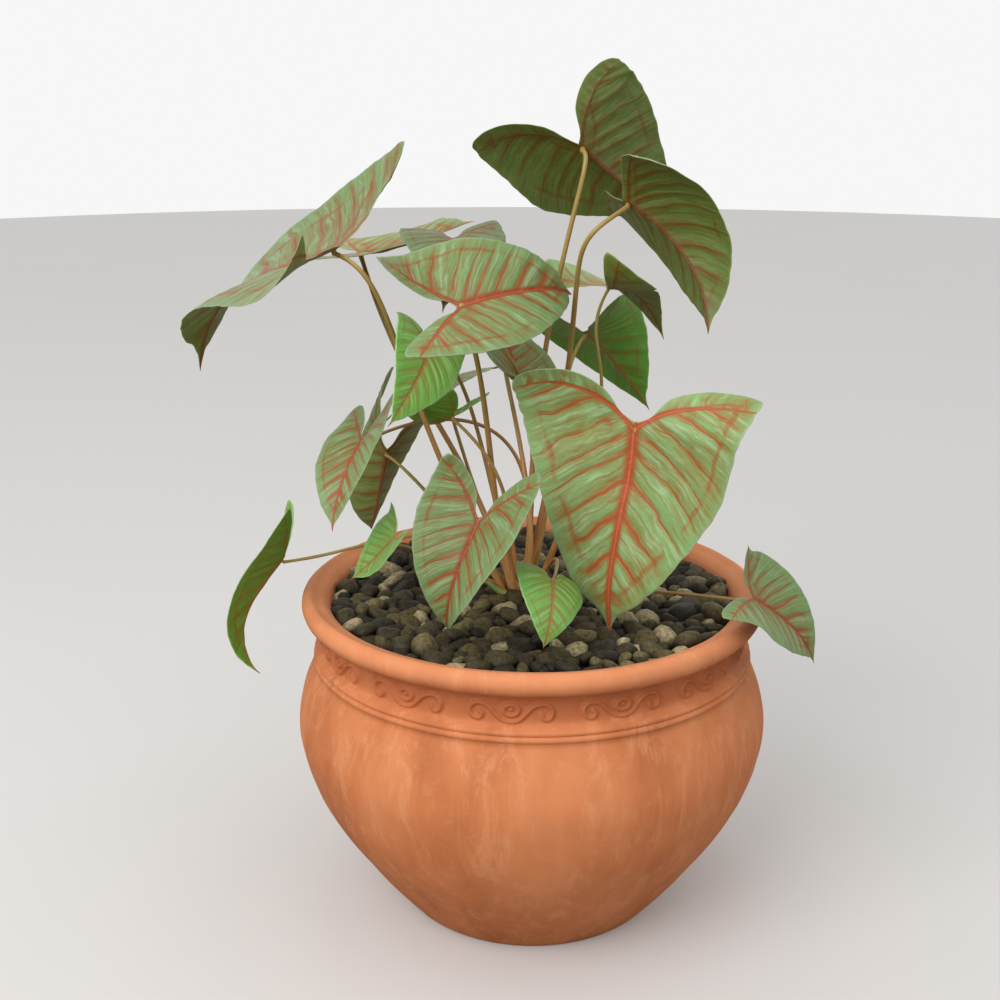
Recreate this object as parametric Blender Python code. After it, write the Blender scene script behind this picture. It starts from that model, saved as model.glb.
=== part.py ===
"""Potted caladium: a clump of arrow-shaped leaves in a round-bellied terracotta pot.

Lengths are in metres unless a name says millimetres, +Z is up, and the origin is the middle of
the pot's foot. Every piece is one closed solid: the pot, the potting mix in it, the gravel on
top, the tuber with its basal sheath, and for each leaf a stalk and a blade.
"""

import math
from dataclasses import dataclass

import bmesh
import bpy
import numpy as np

MM = 0.001
GAP = 0.3  # mm, between pieces that touch

# Pot, in mm: radius and height pairs down the outside and up the inside.
POT_SEGMENTS = 48
FLOOR_RADIUS = 74
FLOOR_THICKNESS = 12
RIM_ROLL = [(143.5, 202.2), (148.3, 205.6), (150.2, 210.4), (148.8, 215.2), (145.2, 217.5),
            (140.5, 216.0), (135.5, 214.2), (132.5, 211.6)]  # over the rolled rim, outside to inside
BELLY_OUTSIDE = [(84, 0), (87, 2.5), (103, 22), (119, 44), (133, 65), (144.5, 87), (151.5, 108),
                 (154.5, 129), (151, 150), (143.5, 169)]
CORDS = [(141.8, 174.2), (141, 178.1)]  # the two raised cords round the shoulder
CORD_RADIUS = 2.1
NECK_OUTSIDE = [(138.4, 182.5), (137, 190), (137.2, 197), (139, 200.8)]
WALL_INSIDE = [(131, 207.5), (129, 197), (129.4, 184), (134, 168), (141.5, 150), (145, 129),
               (142, 108), (135, 87), (123.5, 65), (109, 44), (93, 24), (80, 14.5)]
DRAIN_HOLES = 3
DRAIN_RADIUS = 7
DRAIN_CIRCLE = 46

# Filling, in mm.
MIX_TOP = 184
GRAVEL_TOP = 211
GRAVEL_LUMP = 2.2
GRAVEL_RINGS = 7

# Tuber, in mm: its axis stands a little left of and behind the pot's.
CROWN_AXIS = (-7, 12)
TUBER_SEGMENTS = 20
TUBER_PROFILE = [(0, 154), (13, 156), (22, 163), (24, 171), (21, 179), (17.5, 183), (17.5, 206),
                 (12, 210), (0, 212)]

CROWN_RINGS = [(6.4, 6), (13, 13)]  # radius, and number of stalks that grow on it

# Sheath, in mm: a young shoot that leans out of the crown.
SHEATH_ROUTE = [(-13.5, -5.2, 210.4), (-18.5, -5.4, 213.2), (-24, -5.2, 216.8), (-29, -4.8, 221)]
SHEATH_RADII = (2.3, 0.8)

# Leaves.
BLADE_THICKNESS = 1.0
BLADE_RINGS = 3
BLADE_STEPS = 11  # along each half of the outline
POLE = 0.12  # the blade grid's middle, ahead of the stalk, in midribs
STALK_POINTS = 12


@dataclass(frozen=True)
class Outline:
    """Flat outline of one half of a blade; places are in midribs, measured from the stalk."""

    width: float = 1.0    # factor on the half width ahead of the stalk
    taper: float = 0.12   # half width a fifth of the way back from the tip
    corner: tuple = (-0.14, 0.47)   # where the lobe's outer margin bulges most
    rear: tuple = (-0.50, 0.38)     # the lobe's end
    notch: float = 0.10   # half width of the gap between the lobes
    sinus: float = 0.03   # half width of the gap at the stalk


@dataclass(frozen=True)
class Leaf:
    """One leaf. Lengths are in mm and angles in degrees; pairs are left half, right half."""

    name: str
    outline: Outline
    length: float         # stalk to tip, along the midrib
    at: tuple             # where the stalk meets the blade
    turn: tuple           # heading of the tip from +X, pitch (up is positive), roll about the midrib
    fold: tuple           # rise of each half at the midrib
    curl: tuple           # further rise across half a midrib
    arch: tuple           # droop towards the tip: even part, and part that grows towards the tip
    lobes: tuple          # droop of each lobe, over half a midrib
    twist: float          # turn of the tip about the midrib
    foot: int             # stalk's place on the crown
    rise: tuple           # stalk's first control point, from its foot
    meet: tuple           # stalk's second control point, from the blade
    stalk: tuple = (1.3, 2.0)   # stalk's radius at the blade and at the foot


ARROW = Outline()
BROAD = Outline(1.1, 0.14, (-0.22, 0.56), (-0.46, 0.52), 0.14, 0.055)
ROUND = Outline(1.2, 0.11, (-0.20, 0.62), (-0.22, 0.40), 0.10)
LONG = Outline(0.8, 0.175, (-0.07, 0.41), (-0.23, 0.39), 0.25, 0.04)
SLIM = Outline(0.8, 0.12, (-0.14, 0.52), (-0.46, 0.42), 0.14)

LEAVES = [
    Leaf("top_back", ARROW, 118, (30, 20, 496), (43, -36, -21), (25, 55), (-100, 5),
         (-25, 20), (30, -60), -10, 1, (-6, 21, 175), (11, -29, 2), (1.5, 2.4)),
    Leaf("top_right", ROUND, 98, (56, -15, 466), (2, -29, -33), (20, 30), (5, -50),
         (60, 10), (-80, 10), -20, 2, (54, 30, 226), (-53, -40, -27), (1.5, 2.4)),
    Leaf("back_right_high", SLIM, 78, (49, 48, 406), (59, -5, -26), (30, -40), (40, 35),
         (25, 80), (35, -75), -5, 8, (76, 20, 156), (-29, -36, -42), (1.0, 1.5)),
    Leaf("back_right_low", ARROW, 101, (39, 138, 358), (70, -18, -38), (65, -30), (-40, 75),
         (75, 10), (-20, 0), -20, 9, (18, 13, 76), (-22, -32, -19)),
    Leaf("top_left", LONG, 180, (-120, -30, 441), (137, -22, -1), (-10, 25), (-20, 45),
         (-45, 105), (-100, -20), 5, 14, (-77, -4, 158), (41, -40, -8), (1.5, 2.4)),
    Leaf("left_back", ARROW, 95, (-116, 105, 419), (-29, 7, 7), (20, 10), (-35, 0),
         (-40, 30), (-5, 10), 10, 4, (-43, 103, 96), (41, -132, -84), (1.5, 2.4)),
    Leaf("center_back", ARROW, 69, (-50, 0, 443), (-88, -7, -13), (20, 5), (-15, -20),
         (40, 20), (-5, 25), -5, 6, (15, 23, 188), (31, -120, -81)),
    Leaf("center", ARROW, 90, (-43, -60, 413), (22, 12, 52), (0, 35), (-5, -25),
         (25, 30), (-70, 10), 25, 5, (-18, 15, 28), (19, 63, -63), (1.5, 2.4)),
    Leaf("hidden_back", ARROW, 69, (-63, 60, 337), (55, 10, -26), (5, 5), (-20, -25),
         (30, -15), (5, 25), 10, 11, (-33, 47, 52), (8, -2, -1), (1.1, 1.8)),
    Leaf("inner_left", ARROW, 54, (-64, -40, 381), (-109, -44, -70), (20, -10), (-15, -5),
         (40, -15), (10, 40), -25, 3, (-20, 18, 66), (24, 111, -19), (1.1, 1.8)),
    Leaf("left", ARROW, 62, (-108, -15, 319), (-123, -39, 11), (20, 10), (5, -15),
         (25, 10), (-5, 5), -15, 10, (26, 76, 121), (30, 48, 8), (1.1, 1.8)),
    Leaf("back_left", ARROW, 104, (-101, 100, 279), (110, -59, 18), (30, 40), (95, 35),
         (10, -45), (-10, 55), -35, 12, (-29, 4, 34), (16, -38, 4), (1.1, 1.8)),
    Leaf("inner_back", ARROW, 45, (-51, 0, 331), (147, -30, 14), (20, 15), (0, 25),
         (-25, -45), (-30, 0), 5, 0, (-12, 3, 43), (43, -11, -36), (1.1, 1.8)),
    Leaf("inner_right", ARROW, 60, (-10, -13, 360), (104, 32, 30), (15, 15), (-5, 15),
         (5, -5), (-35, 5), -15, 17, (19, -40, 66), (-24, 117, 27)),
    Leaf("front_right", BROAD, 131, (57, -80, 343), (95, -86, -118), (-25, 15), (20, 35),
         (-60, 75), (90, -60), -5, 19, (23, -3, 86), (17, 21, 8), (1.5, 2.4)),
    Leaf("front_left", ARROW, 77, (-34, -90, 289), (-136, -55, -24), (40, 15), (-20, 5),
         (20, 55), (5, -35), 15, 16, (-3, -3, 66), (-4, 32, -6)),
    Leaf("front_small", ARROW, 46, (10, -100, 257), (-88, -17, -15), (0, 5), (-40, -10),
         (60, 30), (45, 35), 0, 18, (23, -9, 51), (3, 28, -9), (1.0, 1.5)),
    Leaf("rim_right", ARROW, 71, (136, -60, 230), (21, -33, 8), (50, -10), (-10, -10),
         (15, 20), (-75, 45), 25, 7, (6, -19, 11.5), (-15, 7, 1), (1.0, 1.5)),
    Leaf("rim_left", SLIM, 84, (-162, -10, 238), (-157, -46, 20), (25, 15), (0, -10),
         (0, 90), (-40, -30), 20, 13, (-92, -8, 50), (68, 11, 6), (1.0, 1.5)),
    Leaf("rim_inner_left", ARROW, 43, (-88, -30, 259), (159, -49, -21), (-5, 30), (10, 0),
         (-5, -5), (5, -60), -15, 15, (-41, -9, 23), (22, 13, 9), (1.0, 1.5)),
]


def smooth_curve(points, t):
    """Return points at t (0 to 1 by length) on a smooth curve through the given points."""
    points = np.asarray(points, float)
    span = np.linalg.norm(np.diff(points, axis=0), axis=1)
    slope = np.diff(points, axis=0) / span[:, None]
    tangent = np.empty_like(points)
    before, after = span[:-1, None], span[1:, None]
    tangent[1:-1] = (slope[:-1] * after + slope[1:] * before) / (after + before)
    tangent[0] = 1.5 * slope[0] - 0.5 * tangent[1]
    tangent[-1] = 1.5 * slope[-1] - 0.5 * tangent[-2]
    reach = np.concatenate([[0], np.cumsum(span)])
    along = np.clip(t, 0, 1) * reach[-1]
    i = np.clip(np.searchsorted(reach, along, side="right") - 1, 0, len(span) - 1)
    h = span[i][:, None]
    f = (along - reach[i])[:, None] / h
    return ((2 * f**3 - 3 * f**2 + 1) * points[i] + (f**3 - 2 * f**2 + f) * h * tangent[i]
            + (3 * f**2 - 2 * f**3) * points[i + 1] + (f**3 - f**2) * h * tangent[i + 1])


def add_material(obj, color, roughness):
    """Give the object its own Principled material."""
    material = bpy.data.materials.new(obj.name)
    material.use_nodes = True
    shader = material.node_tree.nodes["Principled BSDF"]
    shader.inputs["Base Color"].default_value = (*color, 1)
    shader.inputs["Roughness"].default_value = roughness
    obj.data.materials.append(material)


def add_mesh(name, vertices, faces, color, roughness, smooth=True):
    """Add a mesh object from vertices in mm."""
    mesh = bpy.data.meshes.new(name)
    mesh.from_pydata([tuple(v) for v in np.asarray(vertices) * MM], [], faces)
    obj = bpy.data.objects.new(name, mesh)
    bpy.context.scene.collection.objects.link(obj)
    if smooth:
        mesh.shade_smooth()
        mesh.set_sharp_from_angle(angle=math.radians(40))
    add_material(obj, color, roughness)
    return obj


def add_lathe(name, profile, segments, color, roughness, axis=(0, 0)):
    """Turn a profile of (radius, height) in mm, whose two ends lie on the axis, into a solid."""
    mesh = bpy.data.meshes.new(name)
    bm = bmesh.new()
    ring = [bm.verts.new((r * MM, 0, z * MM)) for r, z in profile]
    edges = [bm.edges.new(pair) for pair in zip(ring, ring[1:])]
    bmesh.ops.spin(bm, geom=ring + edges, cent=(0, 0, 0), axis=(0, 0, 1), angle=math.tau,
                   steps=segments, use_merge=True)
    bmesh.ops.remove_doubles(bm, verts=bm.verts, dist=0.00001)
    bmesh.ops.recalc_face_normals(bm, faces=bm.faces)
    bm.to_mesh(mesh)
    bm.free()
    mesh.shade_smooth()
    mesh.set_sharp_from_angle(angle=math.radians(40))
    obj = bpy.data.objects.new(name, mesh)
    obj.location = (axis[0] * MM, axis[1] * MM, 0)
    bpy.context.scene.collection.objects.link(obj)
    add_material(obj, color, roughness)
    return obj


def cut(obj, cutter):
    """Cut one object out of another, and keep the cutter out of the model."""
    cutter.hide_render = True
    cutter.display_type = "WIRE"
    boolean = obj.modifiers.new(cutter.name, "BOOLEAN")
    boolean.object = cutter
    boolean.solver = "EXACT"


def wall_inside():
    """Return the pot's inner wall, from under the rim down to the floor, in mm."""
    return smooth_curve(WALL_INSIDE, np.linspace(0, 1, 11))


def pot_profile():
    """Return the pot's section: foot, belly, cords, neck, rolled rim, inner wall and floor."""
    belly = smooth_curve(BELLY_OUTSIDE[1:], np.linspace(0, 1, 10))
    cords = [(r + CORD_RADIUS * math.cos(a), z + CORD_RADIUS * math.sin(a))
             for r, z in CORDS for a in np.radians((-60, 0, 60))]
    neck = smooth_curve(NECK_OUTSIDE, np.linspace(0, 1, 4))
    rim = smooth_curve(RIM_ROLL, np.linspace(0, 1, 10))
    return [(0, 0), BELLY_OUTSIDE[0], *map(tuple, belly), *cords, *map(tuple, neck), *map(tuple, rim),
            *map(tuple, wall_inside()), (FLOOR_RADIUS, FLOOR_THICKNESS), (0, FLOOR_THICKNESS)]


def add_pot():
    """Add the terracotta pot with its drain holes."""
    pot = add_lathe("pot", pot_profile(), POT_SEGMENTS, (0.62, 0.25, 0.11), 0.8)
    for i in range(DRAIN_HOLES):
        angle = math.radians(90) + i * math.tau / DRAIN_HOLES
        cutter = add_lathe(f"drain_cutter_{i + 1}",
                           [(0, -5), (DRAIN_RADIUS, -5), (DRAIN_RADIUS, FLOOR_THICKNESS + 5),
                            (0, FLOOR_THICKNESS + 5)],
                           16, (0.5, 0.5, 0.5), 0.5,
                           (DRAIN_CIRCLE * math.cos(angle), DRAIN_CIRCLE * math.sin(angle)))
        cut(pot, cutter)


def tuber_profile(grow=0.0):
    """Return the tuber's section, set out by grow mm."""
    widest = TUBER_PROFILE[3][1]
    return [(r + grow if r else 0, z + (grow if z > widest else -grow)) for r, z in TUBER_PROFILE]


def add_tuber():
    """Add the tuber, whose crown stands at the level of the gravel's top."""
    add_lathe("tuber", tuber_profile(), TUBER_SEGMENTS, (0.24, 0.17, 0.09), 0.8, CROWN_AXIS)


def add_potting_mix():
    """Add the potting mix, which fills the pot up to the gravel, with the tuber's hollow in it."""
    side = [(r - 1.5 * GAP, z) for r, z in wall_inside() if FLOOR_THICKNESS < z < MIX_TOP]
    top = float(np.interp(MIX_TOP, *zip(*[(z, r) for r, z in wall_inside()][::-1]))) - 1.5 * GAP
    profile = [(0, FLOOR_THICKNESS + GAP), (FLOOR_RADIUS - 1.5 * GAP, FLOOR_THICKNESS + GAP), *side[::-1],
               (top, MIX_TOP), (0, MIX_TOP)]
    mix = add_lathe("potting_mix", profile, POT_SEGMENTS, (0.035, 0.022, 0.014), 1.0)
    hollow = add_lathe("tuber_hollow_cutter", tuber_profile(GAP), TUBER_SEGMENTS, (0.5, 0.5, 0.5), 0.5,
                       CROWN_AXIS)
    cut(mix, hollow)


def add_gravel():
    """Add the gravel: a ring-shaped bed round the tuber's crown with a lumpy top.

    A point of the top lies at u of the way from the crown's circle to the pot's wall. Its height is
    the bed's level plus two crossed waves, which fade out at both edges.
    """
    angle = np.linspace(0, math.tau, POT_SEGMENTS, endpoint=False)
    circle = np.stack([np.cos(angle), np.sin(angle)], axis=1)
    heights, radii = zip(*[(z, r) for r, z in wall_inside()][::-1])

    def ring(u, z):
        outer = circle * (np.interp(z, heights, radii) - 2 * GAP)
        inner = circle * (TUBER_PROFILE[5][0] + 2 * GAP) + np.array(CROWN_AXIS)
        return inner + u * (outer - inner)

    rings = []
    for z in (MIX_TOP + GAP, (MIX_TOP + WALL_INSIDE[1][1]) / 2, WALL_INSIDE[1][1]):
        rings.append(np.column_stack([ring(1, z), np.full(POT_SEGMENTS, z)]))
    for u in np.linspace(1, 0, GRAVEL_RINGS):
        edge = WALL_INSIDE[0][1]
        xy = ring(u, edge)
        fade = np.sin(math.pi * u) ** 0.5
        x, y = xy.T
        lump = np.sin(0.37 * x + 1) * np.cos(0.41 * y) + np.sin(0.23 * x - 0.31 * y)
        level = edge + (GRAVEL_TOP - edge) * min(1, 4 * u, 4 * (1 - u) + 0.4)
        rings.append(np.column_stack([xy, level + fade * GRAVEL_LUMP * lump / 2]))
    rings.append(np.column_stack([ring(0, MIX_TOP + GAP), np.full(POT_SEGMENTS, MIX_TOP + GAP)]))

    n, count = POT_SEGMENTS, len(rings)
    faces = [(k * n + i, k * n + (i + 1) % n, (k + 1) % count * n + (i + 1) % n, (k + 1) % count * n + i)
             for k in range(count) for i in range(n)]
    add_mesh("gravel", np.concatenate(rings), faces, (0.05, 0.047, 0.035), 0.9)


def half_outline(outline, t):
    """Return the flat half outline at t, from the tip (0) round the lobe to the sinus (1)."""
    w = outline.width
    rear_x, rear_y = outline.rear
    points = [(1, 0), (0.93, 0.018), (0.80, outline.taper * w), (0.50, 0.32 * w), (0.16, 0.46 * w),
              outline.corner, (rear_x, rear_y), (0.45 * rear_x, outline.notch), (-0.06, outline.sinus),
              (-0.04, 0)]
    return smooth_curve(points, t)


def bend_blade(leaf, x, y):
    """Bend flat blade points (x along the midrib, y to the left, in midribs) into the leaf's shape.

    Across the leaf, each half leaves the midrib at its fold angle and turns further at an even
    rate, its curl. Along the leaf, the midrib's angle falls by arch[0] x + arch[1] x squared ahead
    of the stalk, and each lobe droops at an even rate behind it. The whole turns about the midrib
    by twist times x.
    """
    left = y >= 0
    fold, curl = (np.where(left, *np.radians(pair)) for pair in (leaf.fold, leaf.curl))
    rate = np.where(np.abs(curl) < 0.001, 0.001, 2 * curl)
    reach = np.abs(y)
    across = (np.sin(fold + rate * reach) - np.sin(fold)) / rate * np.where(left, 1, -1)
    lift = (np.cos(fold) - np.cos(fold + rate * reach)) / rate

    even, late = np.radians(leaf.arch)
    steps = np.linspace(0, 1.02, 60)
    slope = even * steps + late * steps**2
    spine_x, spine_z = (np.concatenate([[0], np.cumsum((f[1:] + f[:-1]) / 2 * steps[1])])
                        for f in (np.cos(slope), -np.sin(slope)))
    blend = 0.5 + 0.5 * np.tanh(y / 0.08)
    droop = 2 * np.radians(leaf.lobes[0] * blend + leaf.lobes[1] * (1 - blend))
    droop = np.where(np.abs(droop) < 0.001, 0.001, droop)
    ahead = x >= 0
    front = np.clip(x, 0, 1.02)
    angle = np.where(ahead, even * front + late * front**2, droop * x)
    mid_x = np.where(ahead, np.interp(front, steps, spine_x), np.sin(droop * x) / droop)
    mid_z = np.where(ahead, np.interp(front, steps, spine_z), (np.cos(droop * x) - 1) / droop)

    twist = math.radians(leaf.twist) * x
    side = across * np.cos(twist) - lift * np.sin(twist)
    lift = across * np.sin(twist) + lift * np.cos(twist)
    return np.stack([mid_x + lift * np.sin(angle), side, mid_z + lift * np.cos(angle)], axis=-1)


def leaf_axes(leaf):
    """Return the leaf's axes at the stalk as rows: towards the tip, to the left, out of the top."""
    heading, pitch, roll = np.radians(leaf.turn)
    ch, sh, cp, sp, cr, sr = (math.cos(heading), math.sin(heading), math.cos(pitch), math.sin(pitch),
                              math.cos(roll), math.sin(roll))
    head_to = np.array([[ch, -sh, 0], [sh, ch, 0], [0, 0, 1]])
    pitch_up = np.array([[cp, 0, -sp], [0, 1, 0], [sp, 0, cp]])
    roll_over = np.array([[1, 0, 0], [0, cr, -sr], [0, sr, cr]])
    return (head_to @ pitch_up @ roll_over).T


def add_blade(leaf, color):
    """Add the leaf's blade: rings of its outline shrunk towards the pole, bent and thickened."""
    half = half_outline(leaf.outline, np.linspace(0, 1, BLADE_STEPS + 1))
    rim = np.concatenate([half, half[-2:0:-1] * (1, -1)])
    side = np.concatenate([np.ones(len(half)), -np.ones(BLADE_STEPS - 1)]) * 1e-9
    x, y = [POLE], [1e-9]
    for k in range(1, BLADE_RINGS + 1):
        ring = (POLE, 0) + (rim - (POLE, 0)) * k / BLADE_RINGS
        x.extend(ring[:, 0])
        y.extend(ring[:, 1] + side)
    points = bend_blade(leaf, np.array(x), np.array(y)) * leaf.length @ leaf_axes(leaf) + np.array(leaf.at)

    n = len(rim)
    faces = [(0, 1 + i, 1 + (i + 1) % n) for i in range(n)]
    for k in range(BLADE_RINGS - 1):
        a = 1 + k * n
        for i in range(n):
            j = (i + 1) % n
            faces += [(a + i, a + n + i, a + n + j), (a + i, a + n + j, a + j)]
    blade = add_mesh(f"leaf_{leaf.name}_blade", points, faces, color, 0.5)
    thicken = blade.modifiers.new("Thickness", "SOLIDIFY")
    thicken.thickness = BLADE_THICKNESS * MM
    thicken.offset = 0


def crown_place(place):
    """Return a stalk's place on the crown, in mm: 0 is the middle, then come the two rings."""
    radius, angle = 0.0, 0.0
    for ring_radius, count in CROWN_RINGS:
        if place < 1:
            break
        radius, angle = ring_radius, math.tau * (place - 1) / count
        place -= count
    radii, heights = zip(*TUBER_PROFILE[:5:-1])
    return np.array([CROWN_AXIS[0] + radius * math.cos(angle), CROWN_AXIS[1] + radius * math.sin(angle),
                     np.interp(radius, radii, heights)])


def stalk_path(leaf):
    """Return the stalk's middle line, a cubic from the crown to just under the blade, in mm."""
    foot = crown_place(leaf.foot) + (0, 0, 0.75 * leaf.stalk[1] + GAP)
    under = BLADE_THICKNESS / 2 + GAP + leaf.stalk[0]
    end = np.array(leaf.at) - leaf_axes(leaf)[2] * under
    t = np.linspace(0, 1, STALK_POINTS)[:, None]
    return ((1 - t)**3 * foot + 3 * (1 - t)**2 * t * (foot + leaf.rise)
            + 3 * (1 - t) * t**2 * (end + leaf.meet) + t**3 * end)


def add_tube(name, path, radii, color):
    """Add a tube along a path in mm, with a radius for each point."""
    curve = bpy.data.curves.new(name, "CURVE")
    curve.dimensions = "3D"
    curve.bevel_depth = MM
    curve.bevel_resolution = 1
    curve.use_fill_caps = True
    spline = curve.splines.new("POLY")
    spline.points.add(len(path) - 1)
    for spline_point, point, radius in zip(spline.points, path, radii):
        spline_point.co = (*(point * MM), 1)
        spline_point.radius = radius
    obj = bpy.data.objects.new(name, curve)
    bpy.context.scene.collection.objects.link(obj)
    add_material(obj, color, 0.5)


def add_stalk(leaf, color):
    """Add the leaf's stalk: a tube that thins towards the blade."""
    blade_end, foot = leaf.stalk
    radii = foot + (blade_end - foot) * np.linspace(0, 1, STALK_POINTS) ** 0.6
    add_tube(f"leaf_{leaf.name}_stalk", stalk_path(leaf), radii, color)


def add_sheath():
    """Add the young shoot."""
    path = smooth_curve(SHEATH_ROUTE, np.linspace(0, 1, 6))
    add_tube("basal_sheath", path, np.linspace(*SHEATH_RADII, 6), (0.2, 0.35, 0.1))


def main():
    """Build the whole plant and its pot."""
    for obj in list(bpy.data.objects):
        bpy.data.objects.remove(obj)
    add_pot()
    add_potting_mix()
    add_gravel()
    add_tuber()
    add_sheath()
    for leaf in LEAVES:
        add_blade(leaf, (0.22, 0.32, 0.16))
        add_stalk(leaf, (0.45, 0.28, 0.11))


main()
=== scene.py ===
"""Looks of the potted caladium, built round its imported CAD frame.

The plant stands in a round-bellied terracotta pot with a scroll frieze under its rolled rim. Every
visible piece is worked out here as a surface of two parameters and stands for one CAD node. The
leaves and stalks follow the same tables and formulas as the CAD ones, on finer grids. Lengths are
in millimetres and meshes in metres, unless a comment says otherwise.
"""

import logging
import math
from dataclasses import dataclass, field
from enum import Enum

import bpy
import numpy as np
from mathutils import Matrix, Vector


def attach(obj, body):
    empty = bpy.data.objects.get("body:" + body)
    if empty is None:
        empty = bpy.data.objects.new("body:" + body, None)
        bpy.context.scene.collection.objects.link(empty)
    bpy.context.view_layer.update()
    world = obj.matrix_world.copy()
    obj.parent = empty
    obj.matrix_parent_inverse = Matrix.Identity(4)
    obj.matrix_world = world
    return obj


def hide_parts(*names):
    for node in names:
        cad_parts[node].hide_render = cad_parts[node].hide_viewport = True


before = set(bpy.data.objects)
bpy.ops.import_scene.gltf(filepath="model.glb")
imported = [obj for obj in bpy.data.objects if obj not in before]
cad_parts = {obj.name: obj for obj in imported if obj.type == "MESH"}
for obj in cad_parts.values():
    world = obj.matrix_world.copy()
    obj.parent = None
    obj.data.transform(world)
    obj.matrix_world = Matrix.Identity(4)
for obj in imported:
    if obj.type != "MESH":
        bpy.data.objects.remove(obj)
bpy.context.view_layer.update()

LOG = logging.getLogger("caladium")
MM = 0.001
GAP = 0.3                   # mm, which the CAD pieces keep between them
BODY = "root"               # the one body of a part without joints
CROWN_AXIS = (-7.0, 12.0)   # where the corm and the stalks' feet stand in the pot
Array = np.ndarray
Link = bpy.types.NodeSocket


# ---------------------------------------------------------------- small tools

def linear(code: str) -> tuple[float, float, float, float]:
    """Turn an sRGB colour into a linear one.

    Args:
        code: Six hexadecimal digits after a hash.

    Returns:
        Red, green, blue and an alpha of one: below 0.04045 a channel is divided by 12.92, and above
        it is ((c + 0.055) / 1.055) to the power 2.4.
    """
    channels = [int(code[i:i + 2], 16) / 255 for i in (1, 3, 5)]
    red, green, blue = (c / 12.92 if c <= 0.04045 else ((c + 0.055) / 1.055) ** 2.4
                        for c in channels)
    return red, green, blue, 1.0


def fill_inputs(tree: bpy.types.NodeTree, node: bpy.types.Node, inputs: dict) -> None:
    """Give a node's inputs their values and links.

    Args:
        tree: The node's tree.
        node: The node.
        inputs: Socket name or index to a number, a vector, an sRGB code, or the output that
            feeds it.
    """
    for key, value in inputs.items():
        if isinstance(value, Link):
            tree.links.new(value, node.inputs[key])
        else:
            node.inputs[key].default_value = linear(value) if isinstance(value, str) else value


def add_node(tree: bpy.types.NodeTree, kind: str, inputs: dict | None = None,
             out: int | str = 0, **settings: object) -> Link:
    """Add a node with its settings, values and links.

    Args:
        tree: The material's or world's node tree.
        kind: The node's type name after the word ShaderNode.
        inputs: What fill_inputs gives it.
        out: Name or index of the output that is wanted.
        settings: Properties of the node.

    Returns:
        That output.
    """
    node = tree.nodes.new("ShaderNode" + kind)
    for name, value in settings.items():
        setattr(node, name, value)
    fill_inputs(tree, node, inputs or {})
    return node.outputs[out]


def start_material(name: str) -> tuple[bpy.types.Material, bpy.types.NodeTree,
                                       bpy.types.Node, Link]:
    """Start a material.

    Args:
        name: The real material's name.

    Returns:
        The material, its tree, its Principled shader and its Object coordinates.
    """
    material = bpy.data.materials.new(name)
    material.use_nodes = True
    tree = material.node_tree
    return material, tree, tree.nodes["Principled BSDF"], add_node(tree, "TexCoord", out="Object")


def full_turn(count: int) -> Array:
    """Return the angles of a full turn in that many even steps, in radians."""
    return np.linspace(0, math.tau, count, endpoint=False)


def rotation(axis: int, angle: Array) -> Array:
    """Return matrices that turn points about an axis.

    Args:
        axis: 0, 1 or 2 for X, Y or Z.
        angle: Angles in radians.

    Returns:
        A matrix for each angle, with its cosine and sine in the other two axes' places.
    """
    after, last = (axis + 1) % 3, (axis + 2) % 3
    matrix = np.zeros((*np.shape(angle), 3, 3))
    matrix[..., axis, axis] = 1
    matrix[..., after, after] = matrix[..., last, last] = np.cos(angle)
    matrix[..., last, after] = np.sin(angle)
    matrix[..., after, last] = -np.sin(angle)
    return matrix


def grid_quads(rows: int, columns: int, start: int = 0) -> Array:
    """Return the quads of a grid of points stored row by row, each row a ring.

    Args:
        rows: Number of rows.
        columns: Points in a row.
        start: Index of the first point.

    Returns:
        An array of four indices a quad, which turn from a row towards the next.
    """
    row, column = np.meshgrid(np.arange(rows - 1), np.arange(columns), indexing="ij")
    after = (column + 1) % columns
    quads = np.stack([row * columns + column, row * columns + after,
                      (row + 1) * columns + after, (row + 1) * columns + column], axis=-1)
    return quads.reshape(-1, 4) + start


def fan(hub: int, ring: Array, flip: bool = False) -> Array:
    """Return triangles from a hub point to a closed ring of points.

    Args:
        hub: Index of the hub.
        ring: Indices of the ring, in order.
        flip: Whether the triangles turn the other way.

    Returns:
        An array of three indices a triangle.
    """
    after = np.roll(ring, -1)
    order = (after, ring) if flip else (ring, after)
    return np.stack([np.full(len(ring), hub), *order], axis=-1)


def turn_round(profile: Array, count: int, radius: Array | None = None) -> Array:
    """Turn a profile round the Z axis.

    Args:
        profile: Radius and height, one row a ring.
        count: Points a ring.
        radius: A radius for each point of each ring, in place of the profile's.

    Returns:
        Points, ring by ring: the radius times the cosine and the sine of the angle, and the height.
    """
    angle = full_turn(count)
    radius = profile[:, :1] if radius is None else radius
    parts = np.broadcast_arrays(radius * np.cos(angle), radius * np.sin(angle), profile[:, 1:])
    return np.stack(parts, axis=-1).reshape(-1, 3)


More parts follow.
